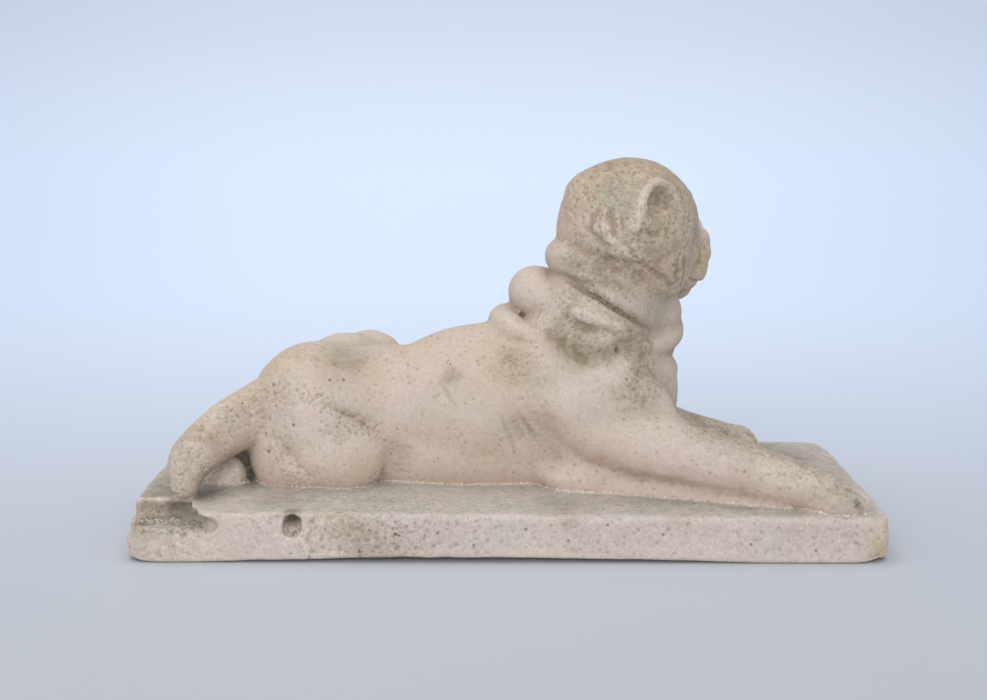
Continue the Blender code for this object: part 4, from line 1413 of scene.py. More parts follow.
FIGURE_SPOTS = [
    # Brown and olive dirt on the head, in the hanging folds, on the shoulder and along the tops of the legs, and
    # darkening along some creases.
    *spread(Trace.DIRT, 24, 0.34, (62, -8, 204), (62, -16, 198), (86, -8, 206), (106, -14, 196), (116, -16, 178),
            (80, 30, 205), (100, 10, 200), (84, -36, 160), (100, -30, 164)),
    *spread(Trace.DIRT, 14, 0.38, (46, -34, 154), (60, -38, 150), (76, -38, 146), (90, -34, 142), (104, -28, 138),
            (120, 0, 160), (126, 6, 148), (112, 26, 190)),
    *spread(Trace.DIRT, 8, 0.50, (114, -27, 145), (111, -28, 139), (117, -24, 151), (107, -28, 136)),
    # Darker along the swag's middle crease.
    *spread(Trace.DIRT, 4.5, 0.80, (38, -30, 113), (44, -32, 109), (52, -34, 106), (60, -36, 105), (68, -36, 104)),
    *spread(Trace.DIRT, 6, 0.65, (90, -26, 103), (93, -24, 97), (88, -28, 88), (76, -35, 103)),
    # Darker along the crease under the swag's hanging fold.
    *spread(Trace.DIRT, 6.5, 0.95, (30, -29, 104), (32, -32, 99), (36, -34, 94), (44, -37, 89), (53, -38, 86),
            (63, -36, 88), (71, -34, 94), (79, -31, 96), (40, -36, 92), (48, -38, 88)),
    # Darker along the strap's lower groove.
    *spread(Trace.DIRT, 1.3, 0.55, (40, -23, 134), (50, -31, 128), (60, -31, 123), (69, -32, 117), (79, -30, 111),
            (89, -26, 104)),
    *spread(Trace.DIRT, 10, 0.62, (40, -36, 100), (52, -38, 98), (62, -38, 100), (72, -38, 112), (84, -33, 108)),
    *spread(Trace.DIRT, 9, 0.45, (69, -43, 68), (79, -41, 70), (85, -43, 64), (92, -43, 61), (78, -46, 58)),
    *spread(Trace.DIRT, 10, 0.40, (96, -29, 72), (86, -32, 77), (88, -28, 86), (94, -22, 84), (99, -20, 64)),
    *spread(Trace.DIRT, 5, 0.55, (-37, -30, 73), (-33, -30, 75)),
    *spread(Trace.DIRT, 8, 0.40, (-1, -26, 88), (5, -29, 82), (8, -32, 76)),
    # Darker in the armpit's hollow.
    *spread(Trace.DIRT, 11, 0.30, (12, -34, 42), (22, -36, 40), (28, -38, 47)),
    *spread(Trace.DIRT, 11, 0.55, (140, 44, 18), (159, 44, 18), (176, 59, 15), (124, -43, 46), (135, 50, 26),
            (118, 44, 30)),
    *spread(Trace.DIRT, 8, 0.55, (123, -46, 43), (135, -50, 40), (147, -54, 37), (159, -58, 33), (171, -63, 30),
            (183, -68, 26), (195, -73, 21), (207, -79, 14), (200, -70, 20), (188, -62, 26)),
    *spread(Trace.DIRT, 9, 0.35, (209, -86, 6), (200, -84, 10), (190, -82, 13), (176, -76, 18)),
    *spread(Trace.DIRT, 8, 0.30, (-142, -39, 60), (-145, -34, 69), (-104, -38, 49), (-92, -36, 43)),
    *spread(Trace.DIRT, 8, 0.60, (-173, -38, 20), (-178, -44, 23), (-168, -24, 8), (-186, -54, 11), (-190, -60, 7)),
    *spread(Trace.DIRT, 9, 0.50, (-209, -62, 20), (-205, -69, 13), (-197, -66, 10), (-192, -60, 12), (-190, -56, 18),
            (-201, -66, 26), (-206, -58, 36), (-197, -52, 43), (-184, -54, 36), (-160, -34, 62), (-172, -40, 54)),
    # Painted shade, with dark moss, along the tail's inner underside.
    *spread(Trace.DARK, 5, 0.55, (-192, -54, 6), (-188, -48, 8), (-183, -42, 12), (-178, -38, 18)),
    *spread(Trace.DIRT, 10, 0.36, (43, -34, 122), (43, -32, 152), (157, -66, 20), (190, -84, 10), (135, 46, 30),
            (150, 50, 24)),
    *spread(Trace.DIRT, 16, 0.34, (61, -5, 203), (-109, -12, 87)),
    *spread(Trace.DIRT, 12, 0.38, (-104, -22, 80), (-112, -30, 74), (-92, -16, 82), (58, -38, 134),
            (46, -30, 142), (30, -34, 124),
            (66, -40, 142), (38, -36, 130)),
    *spread(Trace.DIRT, 18, 0.35, (-110, 40, 60), (20, 48, 60), (60, 56, 95), (20, 30, 112), (110, 40, 110),
            (110, 10, 96), (112, 30, 150)),
    # Green algae where damp stands.
    *spread(Trace.ALGAE, 8, 0.60, (65, -31, 193), (69, -36, 187), (73, -31, 196), (68, -34, 182)),
    *spread(Trace.ALGAE, 6, 0.30, (58, -36, 157), (64, -38, 154), (60, -36, 161)),
    *spread(Trace.ALGAE, 3.4, 0.60, (40, -23, 136), (50, -31, 131), (60, -32, 126), (69, -32, 121),
            (79, -30, 114), (89, -26, 108)),
    *spread(Trace.ALGAE, 9, 0.45, (70, -38, 126), (84, -34, 119), (92, -28, 114), (97, -19, 104), (100, -24, 118)),
    *spread(Trace.ALGAE, 11, 0.40, (-106, -12, 88), (-114, -18, 86), (-96, 22, 88), (8, 10, 107)),
    *spread(Trace.ALGAE, 7, 0.30, (-106, -43, 41), (-111, -45, 36), (-146, -44, 34)),
    *spread(Trace.ALGAE, 9, 0.30, (-178, -45, 49), (-172, -44, 45), (-197, -70, 16), (-190, -66, 12)),
    *spread(Trace.ALGAE, 8, 0.95, (-170, -26, 14), (-168, -24, 6), (-172, -24, 24), (-166, -22, 14)),
    *spread(Trace.ALGAE, 6, 0.55, (210, -85, 11), (217, -87, 7), (213, -84, 12)),
    *spread(Trace.ALGAE, 12, 0.35, (128, -58, 39), (147, -62, 32), (136, -58, 36), (60, -46, 52)),
    *spread(Trace.ALGAE, 16, 0.30, (60, 58, 60), (-60, 45, 30), (110, 30, 60)),
    # Ochre where rust and lichen show, mostly on upward edges.
    *spread(Trace.OCHRE, 12, 0.60, (133, 25, 148), (130, 18, 140)),
    *spread(Trace.OCHRE, 22, 0.42, (62, -14, 206), (84, -4, 212), (104, -8, 202), (52, -26, 180), (96, -34, 166)),
    *spread(Trace.OCHRE, 14, 0.40, (36, -9, 172), (38, -12, 160), (54, -2, 204), (109, -14, 196), (127, 2, 158),
            (131, 10, 147), (120, -10, 186)),
    *spread(Trace.OCHRE, 15, 0.42, (-155, -12, 77), (-148, -14, 82), (-138, -13, 87), (-165, -22, 62),
            (-120, -22, 84)),
    *spread(Trace.OCHRE, 3.2, 0.95, (-111, -24, 83), (-114, -26, 82)),
    *spread(Trace.OCHRE, 10, 0.35, (-91, -44, 20), (-84, -40, 17)),
    *spread(Trace.OCHRE, 15, 0.36, (-23, -16, 92), (-48, -10, 88), (-66, -4, 84), (-10, -30, 72), (8, -30, 66),
            (2, -20, 92), (-84, -20, 74)),
    *spread(Trace.OCHRE, 12, 0.30, (60, -49, 26), (-14, -34, 26), (66, -38, 106), (30, 20, 124), (2, 16, 108)),
    *spread(Trace.OCHRE, 12, 0.32, (-176, -34, 54), (-190, -52, 44), (-200, -62, 34), (160, -52, 36)),
    # Rosy stone, and painted pink shade along the near arm's crease and the strap's upper fold.
    # Painted pink shade along the crease under the near upper arm.
    *spread(Trace.BLUSH_AND_SHADE, 8, 0.50, (28, -37, 46), (35, -40, 41), (48, -46, 34), (62, -50, 27), (85, -56, 17),
            (110, -60, 14), (146, -68, 13), (170, -72, 12)),
    *spread(Trace.BLUSH_AND_SHADE, 11, 0.36, (-20, -36, 8), (0, -36, 10), (-44, -34, 6), (20, -38, 12), (-84, -38, 4)),
    *spread(Trace.BLUSH_AND_SHADE, 10, 0.40, (97, -36, 148), (97, -32, 137), (-179, -51, 37), (-170, -45, 35), (-81, 5, 87)),
    # Painted pink shade along the strap's upper fold.
    *spread(Trace.BLUSH_AND_SHADE, 5, 0.55, (58, -40, 134), (72, -40, 129), (44, -36, 141), (88, -36, 122)),
    # Pale, clean stone where the surface has flaked, and painted light on shaded parts.
    *spread(Trace.PALE, 3.6, 0.95, (78, -46, 176), (79, -46, 182), (81, -43, 188), (84, -41, 194), (89, -40, 198),
            (96, -36, 199), (76, -47, 170), (72, -46, 168)),
    *spread(Trace.PALE, 3.2, 0.75, (64, -40, 163), (68, -41, 159), (72, -42, 156), (60, -38, 172), (52, -36, 168)),
    # Pale stone and a painted highlight along the swag's raised ridge.
    *spread(Trace.PALE, 4.2, 0.85, (46, -34, 117), (53, -36, 115), (62, -37, 111), (69, -36, 108)),
    *spread(Trace.PALE, 3, 0.55, (46, -32, 138), (54, -36, 135), (62, -37, 131), (70, -36, 127), (78, -33, 122),
            (86, -29, 117)),
    *spread(Trace.PALE, 8, 0.45, (62, -43, 75), (70, -42, 76), (64, -38, 100), (34, -41, 60)),
    *spread(Trace.PALE, 9, 0.75, (-184, -33, 13), (-179, -33, 8), (-188, -34, 8)),
    # Painted light lifting the shaded sides of the shoulder, flank, thigh, knee and tail.
    *spread(Trace.PALE, 16, 0.40, (34, -42, 62), (53, -45, 62), (-60, -36, 50), (-120, -48, 24), (-200, -66, 20),
            (-128, -44, 44), (-20, -38, 46)),
    *spread(Trace.PALE, 8, 0.40, (180, -78, 15), (190, -82, 10), (164, -72, 18)),
    # Painted shade: on the floor of the near ear, in the deep holes of the swag and the near paw, in the hollow under
    # the tail, along the tail's underside, and in the deep holes.
    *spread(Trace.DARK, 5.5, 0.24, (95, -27, 190), (98, -26, 186), (91, -30, 185)),
    *spread(Trace.DARK, 1.5, 1.0, (71, -34, 91)),
    *spread(Trace.DARK, 2.6, 0.75, (216, -88, 7), (218, -88, 3)),
    *spread(Trace.DARK, 7, 0.80, (-166, -22, 8), (-168, -20, 18), (-164, -20, 14), (-176, -10, 22), (-184, -8, 16)),
    *spread(Trace.DARK, 4, 0.65, (-172, -28, 27), (-178, -33, 25), (-184, -38, 21)),
    *spread(Trace.DARK, 0.85, 0.9, *FIGURE_HOLES),
    # Rough, porous patches.
    *spread(Trace.ROUGH, 26, 0.85, (50, -20, 196), (80, -20, 204), (70, -38, 170), (100, -30, 160), (60, -36, 150),
            (110, -10, 180), (120, 10, 150)),
    *spread(Trace.ROUGH, 14, 0.85, (50, -36, 100), (74, -38, 98), (88, -30, 88), (44, -36, 118), (60, -40, 120)),
    *spread(Trace.ROUGH, 12, 0.70, (80, -42, 66), (92, -36, 72), (30, -36, 128), (24, -20, 112)),
    *spread(Trace.ROUGH, 7, 1.0, (-112, -41, 53), (-103, -39, 49), (-94, -36, 44), (-85, -33, 37), (-77, -31, 30),
            (-120, -42, 62), (-128, -40, 66)),
    *spread(Trace.ROUGH, 9, 1.0, (-184, -34, 12), (-178, -36, 8), (-188, -36, 7)),
    *spread(Trace.ROUGH, 10, 0.80, (-136, -46, 12), (-130, -48, 6), (-184, -30, 8), (206, -72, 12), (192, -64, 24)),
    *spread(Trace.ROUGH, 14, 0.70, (-205, -64, 14), (-200, -60, 28), (-190, -50, 40), (-176, -40, 50), (-160, -32, 58),
            (-148, -40, 30), (-150, -36, 60), (124, -48, 40), (144, -54, 34), (164, -62, 28), (184, -70, 22),
            (204, -80, 12), (150, 50, 18)),
    *spread(Trace.ROUGH, 16, 0.55, (10, -28, 84), (160, -58, 34), (176, 58, 16), (-130, -20, 88), (-108, -44, 38)),
]

PEBBLES = [
    *spread(Trace.ROUGH, 8, 0.95, (-226, -76, -8), (-218, -76, -8), (-210, -76, -8), (-202, -78, -8), (-194, -84, -8)),
    *spread(Trace.ROUGH, 4.5, 0.78, (-222, FACE, -10), (-206, FACE, -10), (-198, FACE, -11), (-188, FACE, -9)),
    *spread(Trace.ROUGH, 5, 0.98, (-132, -84, -11), (-129, -86, -12)),
]

PLINTH_SPOTS = [
    *spread(Trace.ALGAE, 20, 0.38, (-207, -50, 3), (-225, -40, 3), (-200, 0, 3), (-215, 40, 3), (-131, -62, 2),
            (-80, -60, 1), (34, -62, 0), (86, -64, -1), (111, -66, -1), (147, -72, -1), (184, -76, -2)),
    *spread(Trace.ALGAE, 22, 0.32, (120, 10, -1), (150, 30, -1), (200, 20, -2), (190, 60, -2), (60, 74, 0),
            (-20, 70, 0), (-120, 70, 2), (-170, 50, 2), (215, -20, -3)),
    *spread(Trace.ALGAE, 7, 0.85, (-168, -30, 2), (-172, -24, 2), (-164, -34, 2)),
    # Painted shadow of the tail on the plinth's top.
    *spread(Trace.DARK, 5, 0.50, (-192, -58, 2), (-189, -52, 2), (-186, -46, 2), (-194, -64, 2)),
    *spread(Trace.DIRT, 9, 0.55, (-230, -66, -4), (-222, -66, -4), (-214, -66, -4), (-206, -66, -4)),
    *spread(Trace.BLUSH_AND_SHADE, 6, 0.55, (-184, FACE, -6), (-180, FACE, -9), (-228, -66, -3)),
    *spread(Trace.PALE, 2.6, 0.85, (-231, -64, 2), (-225, -64, 2), (-219, -64, 2), (-213, -64, 2), (-207, -64, 2),
            (-201, -65, 2), (-198, -71, 2), (-195, -78, 2), (-192, -84, 1), (-189, -90, 0), (-184, FACE, -2)),
    *spread(Trace.ALGAE, 9, 0.45, (-206, FACE, -10), (-214, FACE, -14), (-84, FACE, -10)),
    *spread(Trace.DIRT, 16, 0.40, (-230, -50, -4), (-231, -20, -6), (-222, FACE, -4), (-200, FACE, -2), (34, -72, 0)),
    *spread(Trace.DIRT, 9, 0.40, (-98, FACE, -6), (-92, FACE, -12), (-86, FACE, -24), (-76, FACE, -26),
            (-62, FACE, -26)),
    *spread(Trace.DIRT, 7, 0.45, (34, -88, 0), (40, FACE, -3), (104, FACE, -2)),
    *spread(Trace.DIRT, 8, 0.55, (-182, -56, 3), (-186, -62, 3), (-190, -68, 3)),
    *spread(Trace.DIRT, 14, 0.30, (120, 0, -2), (140, 20, -2), (160, -10, -2), (180, 10, -2), (150, 50, -2)),
    *spread(Trace.DIRT, 12, 0.30, (206, FACE, -4), (180, FACE, -4), (120, FACE, -3), (232, 20, -8), (100, -FACE, -10)),
    *spread(Trace.OCHRE, 11, 0.90, (234, FACE, -10), (235, FACE, -20), (233, FACE, -30)),
    *spread(Trace.DIRT, 18, 0.55, (203, 52, -2), (180, 40, -2), (160, 30, -2)),
    *spread(Trace.DIRT, 12, 0.45, (150, 66, -1), (170, 70, -2), (190, 76, -2), (206, 40, -2), (216, 0, -2),
            (-224, -50, 3),
            (-218, -30, 3), (-150, -70, 2), (-140, -60, 2)),
    *spread(Trace.OCHRE, 18, 0.35, (233, -50, -16), (233, -20, -20), (-100, FACE, -12), (-224, FACE, -20)),
    *spread(Trace.OCHRE, 8, 0.45, (-170, -88, 2), (-150, -88, 1), (-130, -88, 1), (-110, -88, 1)),
    *spread(Trace.BLUSH_AND_SHADE, 26, 0.30, (-220, FACE, -30), (-170, FACE, -30), (60, FACE, -30), (-40, FACE, -10),
            (-70, FACE, -26)),
    *spread(Trace.PALE, 9, 0.65, (-214, FACE, -18), (-200, FACE, -17), (-188, FACE, -18), (-131, FACE, -13)),
    *spread(Trace.PALE, 22, 0.35, (-160, FACE, -20), (120, FACE, -14), (20, FACE, -20), (190, FACE, -14)),
    # Painted shade in the broken corner's upper hollow and its cave.
    *spread(Trace.DARK, 4.5, 0.88, (-210, -66, -4), (-204, -66, -4), (-199, -70, -4), (-195, -77, -5),
            (-191, -84, -5)),
    *spread(Trace.DARK, 3.5, 0.60, (-186, -88, -6), (-228, -80, -10)),
    # Painted shade in the top of the air hole.
    *spread(Trace.DARK, 4.0, 1.0, (-132, -88, -2), (-134, -85, -4), (-129, -86, -3), (-131, -82, -5)),
    *spread(Trace.PALE, 4.5, 1.0, (-132, -86, -12), (-129, -84, -10), (-134, -84, -11)),
    # Painted shade in the deep holes.
    *spread(Trace.DARK, 0.85, 0.9, *PLINTH_HOLES),
    *PEBBLES,
    *spread(Trace.ROUGH, 12, 0.60, (-108, FACE, -10), (-100, FACE, -18), (-66, FACE, -8), (-84, FACE, -20),
            (-150, FACE, -12),
            (-210, FACE, -24)),
    *spread(Trace.ROUGH, 26, 0.40, (-60, -70, 1), (0, -70, 0), (60, -75, -1), (120, -78, -1), (-120, -70, 2)),
    *spread(Trace.ROUGH, 26, 0.5, (-60, FACE, -14), (-90, FACE, -14), (200, FACE, -14), (-230, 0, -10),
            (-208, FACE, -20)),
]


# ---------------------------------------------------------------- materials


class Board:
    """Places shader nodes in a tree and joins them."""

    def __init__(self, tree: bpy.types.NodeTree) -> None:
        """Works on a node tree.

        Args:
            tree: The tree.
        """
        self.tree = tree

    def add(self, kind: str, feeds: Optional[dict[str, Feed]] = None, **settings: object) -> bpy.types.Node:
        """Adds a node.

        Args:
            kind: The node's type.
            feeds: Values or sockets for its inputs, by name.
            **settings: The node's own properties.

        Returns:
            The node.
        """
        node = self.tree.nodes.new(kind)
        for name, value in settings.items():
            setattr(node, name, value)
        for name, feed in (feeds or {}).items():
            self.feed(node.inputs[name], feed)
        return node

    def feed(self, socket: Socket, value: Feed) -> None:
        """Joins a socket to another one, or sets its value.

        Args:
            socket: The input.
            value: The socket or value that it gets.
        """
        if isinstance(value, bpy.types.NodeSocket):
            self.tree.links.new(value, socket)
        else:
            socket.default_value = value

    def calc(self, operation: str, one: Feed, two: Feed = 0.0, clamp: bool = False) -> Socket:
        """A sum, product or other result of two values."""
        node = self.add("ShaderNodeMath", operation=operation, use_clamp=clamp)
        self.feed(node.inputs[0], one)
        self.feed(node.inputs[1], two)
        return node.outputs[0]

    def blend(self, share: Feed, one: Feed, two: Feed, mode: str = "MIX") -> Socket:
        """A mix of two colours."""
        node = self.add("ShaderNodeMix", data_type="RGBA", blend_type=mode)
        self.feed(node.inputs[0], share)
        self.feed(node.inputs[6], one)
        self.feed(node.inputs[7], two)
        return node.outputs[2]

    def rise(self, value: Feed, low: float, high: float, start: float = 0.0, end: float = 1.0) -> Socket:
        """A value between low and high as a smooth change from start to end."""
        node = self.add(
            "ShaderNodeMapRange",
            {"Value": value, "From Min": low, "From Max": high, "To Min": start, "To Max": end},
            interpolation_type="SMOOTHSTEP",
        )
        return node.outputs[0]

    def scaled(self, colour: Feed, factor: Feed) -> Socket:
        """A colour times a factor."""
        node = self.add("ShaderNodeVectorMath", operation="SCALE")
        self.feed(node.inputs[0], colour)
        self.feed(node.inputs["Scale"], factor)
        return node.outputs[0]

    def noise(self, place: Socket, size: float, detail: float = 2.0, rough: float = 0.55) -> Socket:
        """Soft noise whose lumps are about size metres wide."""
        node = self.add(
            "ShaderNodeTexNoise",
            {"Vector": place, "Scale": 1 / size, "Detail": detail, "Roughness": rough},
        )
        return node.outputs[0]

    def mask(self, name: str) -> Socket:
        """One of the masks stored on the mesh."""
        return self.add("ShaderNodeAttribute", attribute_name=name).outputs["Fac"]


def new_group(
    name: str, inputs: Sequence[tuple[str, str, object]], outputs: Sequence[tuple[str, str]]
) -> tuple[Board, bpy.types.Node, bpy.types.Node]:
    """Makes an empty node group with its sockets.

    Args:
        name: The group's name.
        inputs: The name, kind and value of each input.
        outputs: The name and kind of each output.

    Returns:
        A board for the group, and its input and output nodes.
    """
    tree = bpy.data.node_groups.new(name, "ShaderNodeTree")
    for label, kind, value in inputs:
        socket = tree.interface.new_socket(name=label, in_out="INPUT", socket_type="NodeSocket" + kind)
        if kind != "Vector":
            socket.default_value = value
    for label, kind in outputs:
        tree.interface.new_socket(name=label, in_out="OUTPUT", socket_type="NodeSocket" + kind)
    board = Board(tree)
    return board, board.add("NodeGroupInput"), board.add("NodeGroupOutput")


def sand_group() -> bpy.types.NodeTree:
    """The sandy body of the cast: fine grains that change its tone and stand a little proud.

    Returns:
        The group, with a Tone around 1 and a Height.
    """
    board, given, out = new_group(
        "sand_grain",
        [("Place", "Vector", None), ("Contrast", "Float", 0.2)],
        [("Tone", "Float"), ("Height", "Float")],
    )
    place = given.outputs["Place"]
    fine = board.noise(place, 0.0011, 3.0, 0.7)
    grains = board.add("ShaderNodeTexVoronoi", {"Vector": place, "Scale": 1 / 0.0016, "Randomness": 1.0})
    speck = board.add("ShaderNodeSeparateColor", {"Color": grains.outputs["Color"]}).outputs[0]
    middle = grains.outputs["Distance"]
    dark = board.calc("MULTIPLY", board.rise(speck, 0.0, 0.16, 1.0, 0.0), board.rise(middle, 0.10, 0.42, 1.0, 0.0))
    light = board.calc("MULTIPLY", board.rise(speck, 0.88, 0.98), board.rise(middle, 0.08, 0.40, 1.0, 0.0))
    coarse = board.noise(place, 0.0023, 3.0, 0.75)
    both = board.calc("ADD", board.calc("MULTIPLY", fine, 0.9), board.calc("MULTIPLY", coarse, 0.9))
    tone = board.calc("ADD", board.calc("SUBTRACT", both, 0.9), board.calc("MULTIPLY", light, 0.20))
    tone = board.calc("SUBTRACT", tone, board.calc("MULTIPLY", dark, 0.22))
    tone = board.calc("MULTIPLY", tone, given.outputs["Contrast"])
    board.feed(out.inputs["Tone"], board.calc("ADD", tone, 1.0))
    height = board.calc("SUBTRACT", board.calc("ADD", fine, board.calc("MULTIPLY", light, 0.3)), dark)
    board.feed(out.inputs["Height"], height)
    return board.tree


def pinhole_group() -> bpy.types.NodeTree:
    """Small air holes left by the casting, scattered unevenly.

    Returns:
        The group, with a Mask that is 1 in the holes.
    """
    board, given, out = new_group(
        "pinholes",
        [("Place", "Vector", None), ("Spacing", "Float", 0.006), ("Share", "Float", 0.2)],
        [("Mask", "Float")],
    )
    scale = board.calc("DIVIDE", 1.0, given.outputs["Spacing"])
    cells = board.add(
        "ShaderNodeTexVoronoi", {"Vector": given.outputs["Place"], "Scale": scale, "Randomness": 1.0}
    )
    value = board.add("ShaderNodeSeparateColor", {"Color": cells.outputs["Color"]})
    size = board.calc("MULTIPLY_ADD", value.outputs[1], 0.12)
    size.node.inputs[2].default_value = 0.03
    inside = board.calc("SUBTRACT", 1.0, board.calc("DIVIDE", cells.outputs["Distance"], size), clamp=True)
    flock = board.rise(board.noise(given.outputs["Place"], 0.028, 2.0), 0.42, 0.62, 0.15, 1.9)
    chosen = board.calc("LESS_THAN", value.outputs[0], board.calc("MULTIPLY", given.outputs["Share"], flock))
    chosen = board.calc("MULTIPLY", chosen, board.calc("ADD", board.calc("MULTIPLY", value.outputs[2], 0.7), 0.3))
    board.feed(out.inputs["Mask"], board.calc("MULTIPLY", board.rise(inside, 0.0, 0.55), chosen))
    return board.tree


def stain_group() -> bpy.types.NodeTree:
    """A stain that lies where its mask says, broken up by the stone's own pattern.

    Returns:
        The group, with the stained Colour and the stain's Cover.
    """
    board, given, out = new_group(
        "stain",
        [
            ("Place", "Vector", None), ("Colour", "Color", (0.5, 0.5, 0.5, 1)), ("Stain", "Color", (0.2, 0.2, 0.1, 1)),
            ("Mask", "Float", 0.0), ("Size", "Float", 0.008), ("Most", "Float", 0.8),
        ],
        [("Colour", "Color"), ("Cover", "Float")],
    )
    scale = board.calc("DIVIDE", 1.0, given.outputs["Size"])
    broad = board.add(
        "ShaderNodeTexNoise",
        {"Vector": given.outputs["Place"], "Scale": scale, "Detail": 3.0, "Roughness": 0.6},
    ).outputs[0]
    finer = board.calc("MULTIPLY", scale, 6.5)
    fine = board.add(
        "ShaderNodeTexNoise",
        {"Vector": given.outputs["Place"], "Scale": finer, "Detail": 3.0, "Roughness": 0.7},
    ).outputs[0]
    patches = board.rise(board.calc("ADD", board.calc("MULTIPLY", broad, 0.55), board.calc("MULTIPLY", fine, 0.45)),
                         0.34, 0.64, 0.30, 1.45)
    cover = board.calc("MULTIPLY", board.calc("MULTIPLY", given.outputs["Mask"], patches, clamp=True),
                       given.outputs["Most"])
    board.feed(out.inputs["Colour"], board.blend(cover, given.outputs["Colour"], given.outputs["Stain"]))
    board.feed(out.inputs["Cover"], cover)
    return board.tree


@dataclass(frozen=True)
class StoneFinish:
    """Weathered cast stone: its body, what has settled on it, the shade painted into its hollows and holes, and how
    coarse it is.
    """

    name: str
    body: Colour
    rosy: Colour
    grey: Colour
    dirt: Colour = (0.255, 0.195, 0.115, 1)
    algae: Colour = (0.285, 0.290, 0.210, 1)
    ochre: Colour = (0.500, 0.350, 0.180, 1)
    # Rosy stone, also used as painted pink shade in creases.
    blush_and_shade: Colour = (0.480, 0.315, 0.260, 1)
    pale: Colour = (0.680, 0.560, 0.465, 1)
    # Painted shade colour for holes, hollows, the tail's underside and the gaps between pebbles.
    shade: Colour = (0.062, 0.042, 0.028, 1)
    # Painted shade colour inside the pinholes.
    hole: Colour = (0.110, 0.080, 0.060, 1)
    contrast: float = 0.36
    worn_contrast: float = 0.85
    hole_spacing: float = 0.0062
    hole_share: float = 0.0035
    grain_height: float = 0.00019
    roughness: float = 0.93
    upward_grime: float = 0.0
    crust: float = 0.30
    specks: float = 0.34
    # Dirt and painted shade in the mesh's hollows and pores.
    hollow_dirt_and_shade: float = 0.62
    pore_dirt_and_shade: float = 0.80
    ridge_wear: float = 0.55
    # How far the painted shade goes towards its colour.
    darkest: float = 0.90
    # How far the painted shade in the pinholes goes.
    pinhole_shade: float = 0.72
    hole_depth: float = 0.0007
    knob_height: float = 0.00042

    def make(self) -> bpy.types.Material:
        """Builds the material.

        Returns:
            The material.
        """
        material = bpy.data.materials.new(self.name)
        material.use_nodes = True
        board = Board(material.node_tree)
        shader = material.node_tree.nodes["Principled BSDF"]
        place = board.add("ShaderNodeTexCoord").outputs["Object"]
        sand = board.add("ShaderNodeGroup", {}, node_tree=GROUPS["sand"])
        board.feed(sand.inputs["Place"], place)
        worn = board.rise(board.mask(Trace.ROUGH.value), 0.0, 1.0, self.contrast, self.worn_contrast)
        board.feed(sand.inputs["Contrast"], worn)
        colour = self.body_colour(board, place)
        colour = self.stained(board, place, colour)
        colour, holes = self.pitted(board, place, colour)
        board.feed(shader.inputs["Base Color"], board.scaled(colour, sand.outputs["Tone"]))
        shader.inputs["Metallic"].default_value = 0.0
        shader.inputs["Specular IOR Level"].default_value = 0.25
        rough = board.calc("SUBTRACT", self.roughness, board.calc("MULTIPLY", board.mask("ridges"), 0.08))
        board.feed(shader.inputs["Roughness"], rough)
        board.feed(shader.inputs["Normal"], self.bump(board, place, sand.outputs["Height"], holes))
        return material

    def body_colour(self, board: Board, place: Socket) -> Socket:
        """The stone's own colour: rosy and grey clouds over a sandy body.

        Args:
            board: The material's board.
            place: The coordinates.

        Returns:
            The colour.
        """
        colour = board.blend(board.rise(board.noise(place, 0.075, 3.0), 0.40, 0.66, 0.0, 0.8), self.body, self.rosy)
        colour = board.blend(board.rise(board.noise(place, 0.031, 4.0), 0.50, 0.74, 0.0, 0.40), colour, self.grey)
        worn = board.mask(Trace.ROUGH.value)
        crust = board.calc("SUBTRACT", board.rise(board.noise(place, 0.0034, 4.0, 0.72), 0.30, 0.68), 0.5)
        crust = board.calc("MULTIPLY", crust, board.rise(worn, 0.0, 1.0, 0.12, self.crust))
        specks = board.rise(board.noise(place, 0.0019, 2.0, 0.6), 0.60, 0.70)
        specks = board.calc("MULTIPLY", specks, board.rise(worn, 0.1, 0.9, 0.04, self.specks))
        return board.scaled(colour, board.calc("ADD", board.calc("SUBTRACT", crust, specks), 1.02))

    def stained(self, board: Board, place: Socket, colour: Socket) -> Socket:
        """Lays the traces of weather and the painted shade over the stone, one after the other.

        Args:
            board: The material's board.
            place: The coordinates.
            colour: The colour below them.

        Returns:
            The stained colour.
        """
        upward = board.calc("MULTIPLY", board.mask("upward"), self.upward_grime)
        # Dirt and painted shade where the mesh lies in hollows and pores.
        hollows = board.calc("MULTIPLY", board.mask("hollows"), self.hollow_dirt_and_shade)
        pores = board.calc("MULTIPLY", board.mask("pores"), self.pore_dirt_and_shade)
        # Each layer's mask, its stain, the size of its patches in metres, and the most that it covers.
        layers = (
            (board.mask(Trace.BLUSH_AND_SHADE.value), self.blush_and_shade, 0.020, 0.60),
            (board.mask(Trace.OCHRE.value), self.ochre, 0.012, 0.66),
            (board.calc("ADD", board.mask(Trace.ALGAE.value), upward), self.algae, 0.010, 0.70),
            (board.mask(Trace.DIRT.value), self.dirt, 0.007, 0.82),
            (board.calc("MAXIMUM", hollows, pores), self.dirt, 0.004, 0.58),
            (board.calc("MULTIPLY", board.mask("ridges"), self.ridge_wear), self.pale, 0.007, 0.40),
            (board.mask(Trace.PALE.value), self.pale, 0.006, 0.90),
        )
        for mask, stain, size, most in layers:
            node = board.add("ShaderNodeGroup", {}, node_tree=GROUPS["stain"])
            for name, feed in {
                "Place": place, "Colour": colour, "Stain": stain, "Mask": mask, "Size": size, "Most": most,
            }.items():
                board.feed(node.inputs[name], feed)
            colour = node.outputs["Colour"]
        # Painted shade, from its own mask: holes, hollows, under the tail and between pebbles.
        return board.blend(board.calc("MULTIPLY", board.mask(Trace.DARK.value), self.darkest), colour, self.shade)

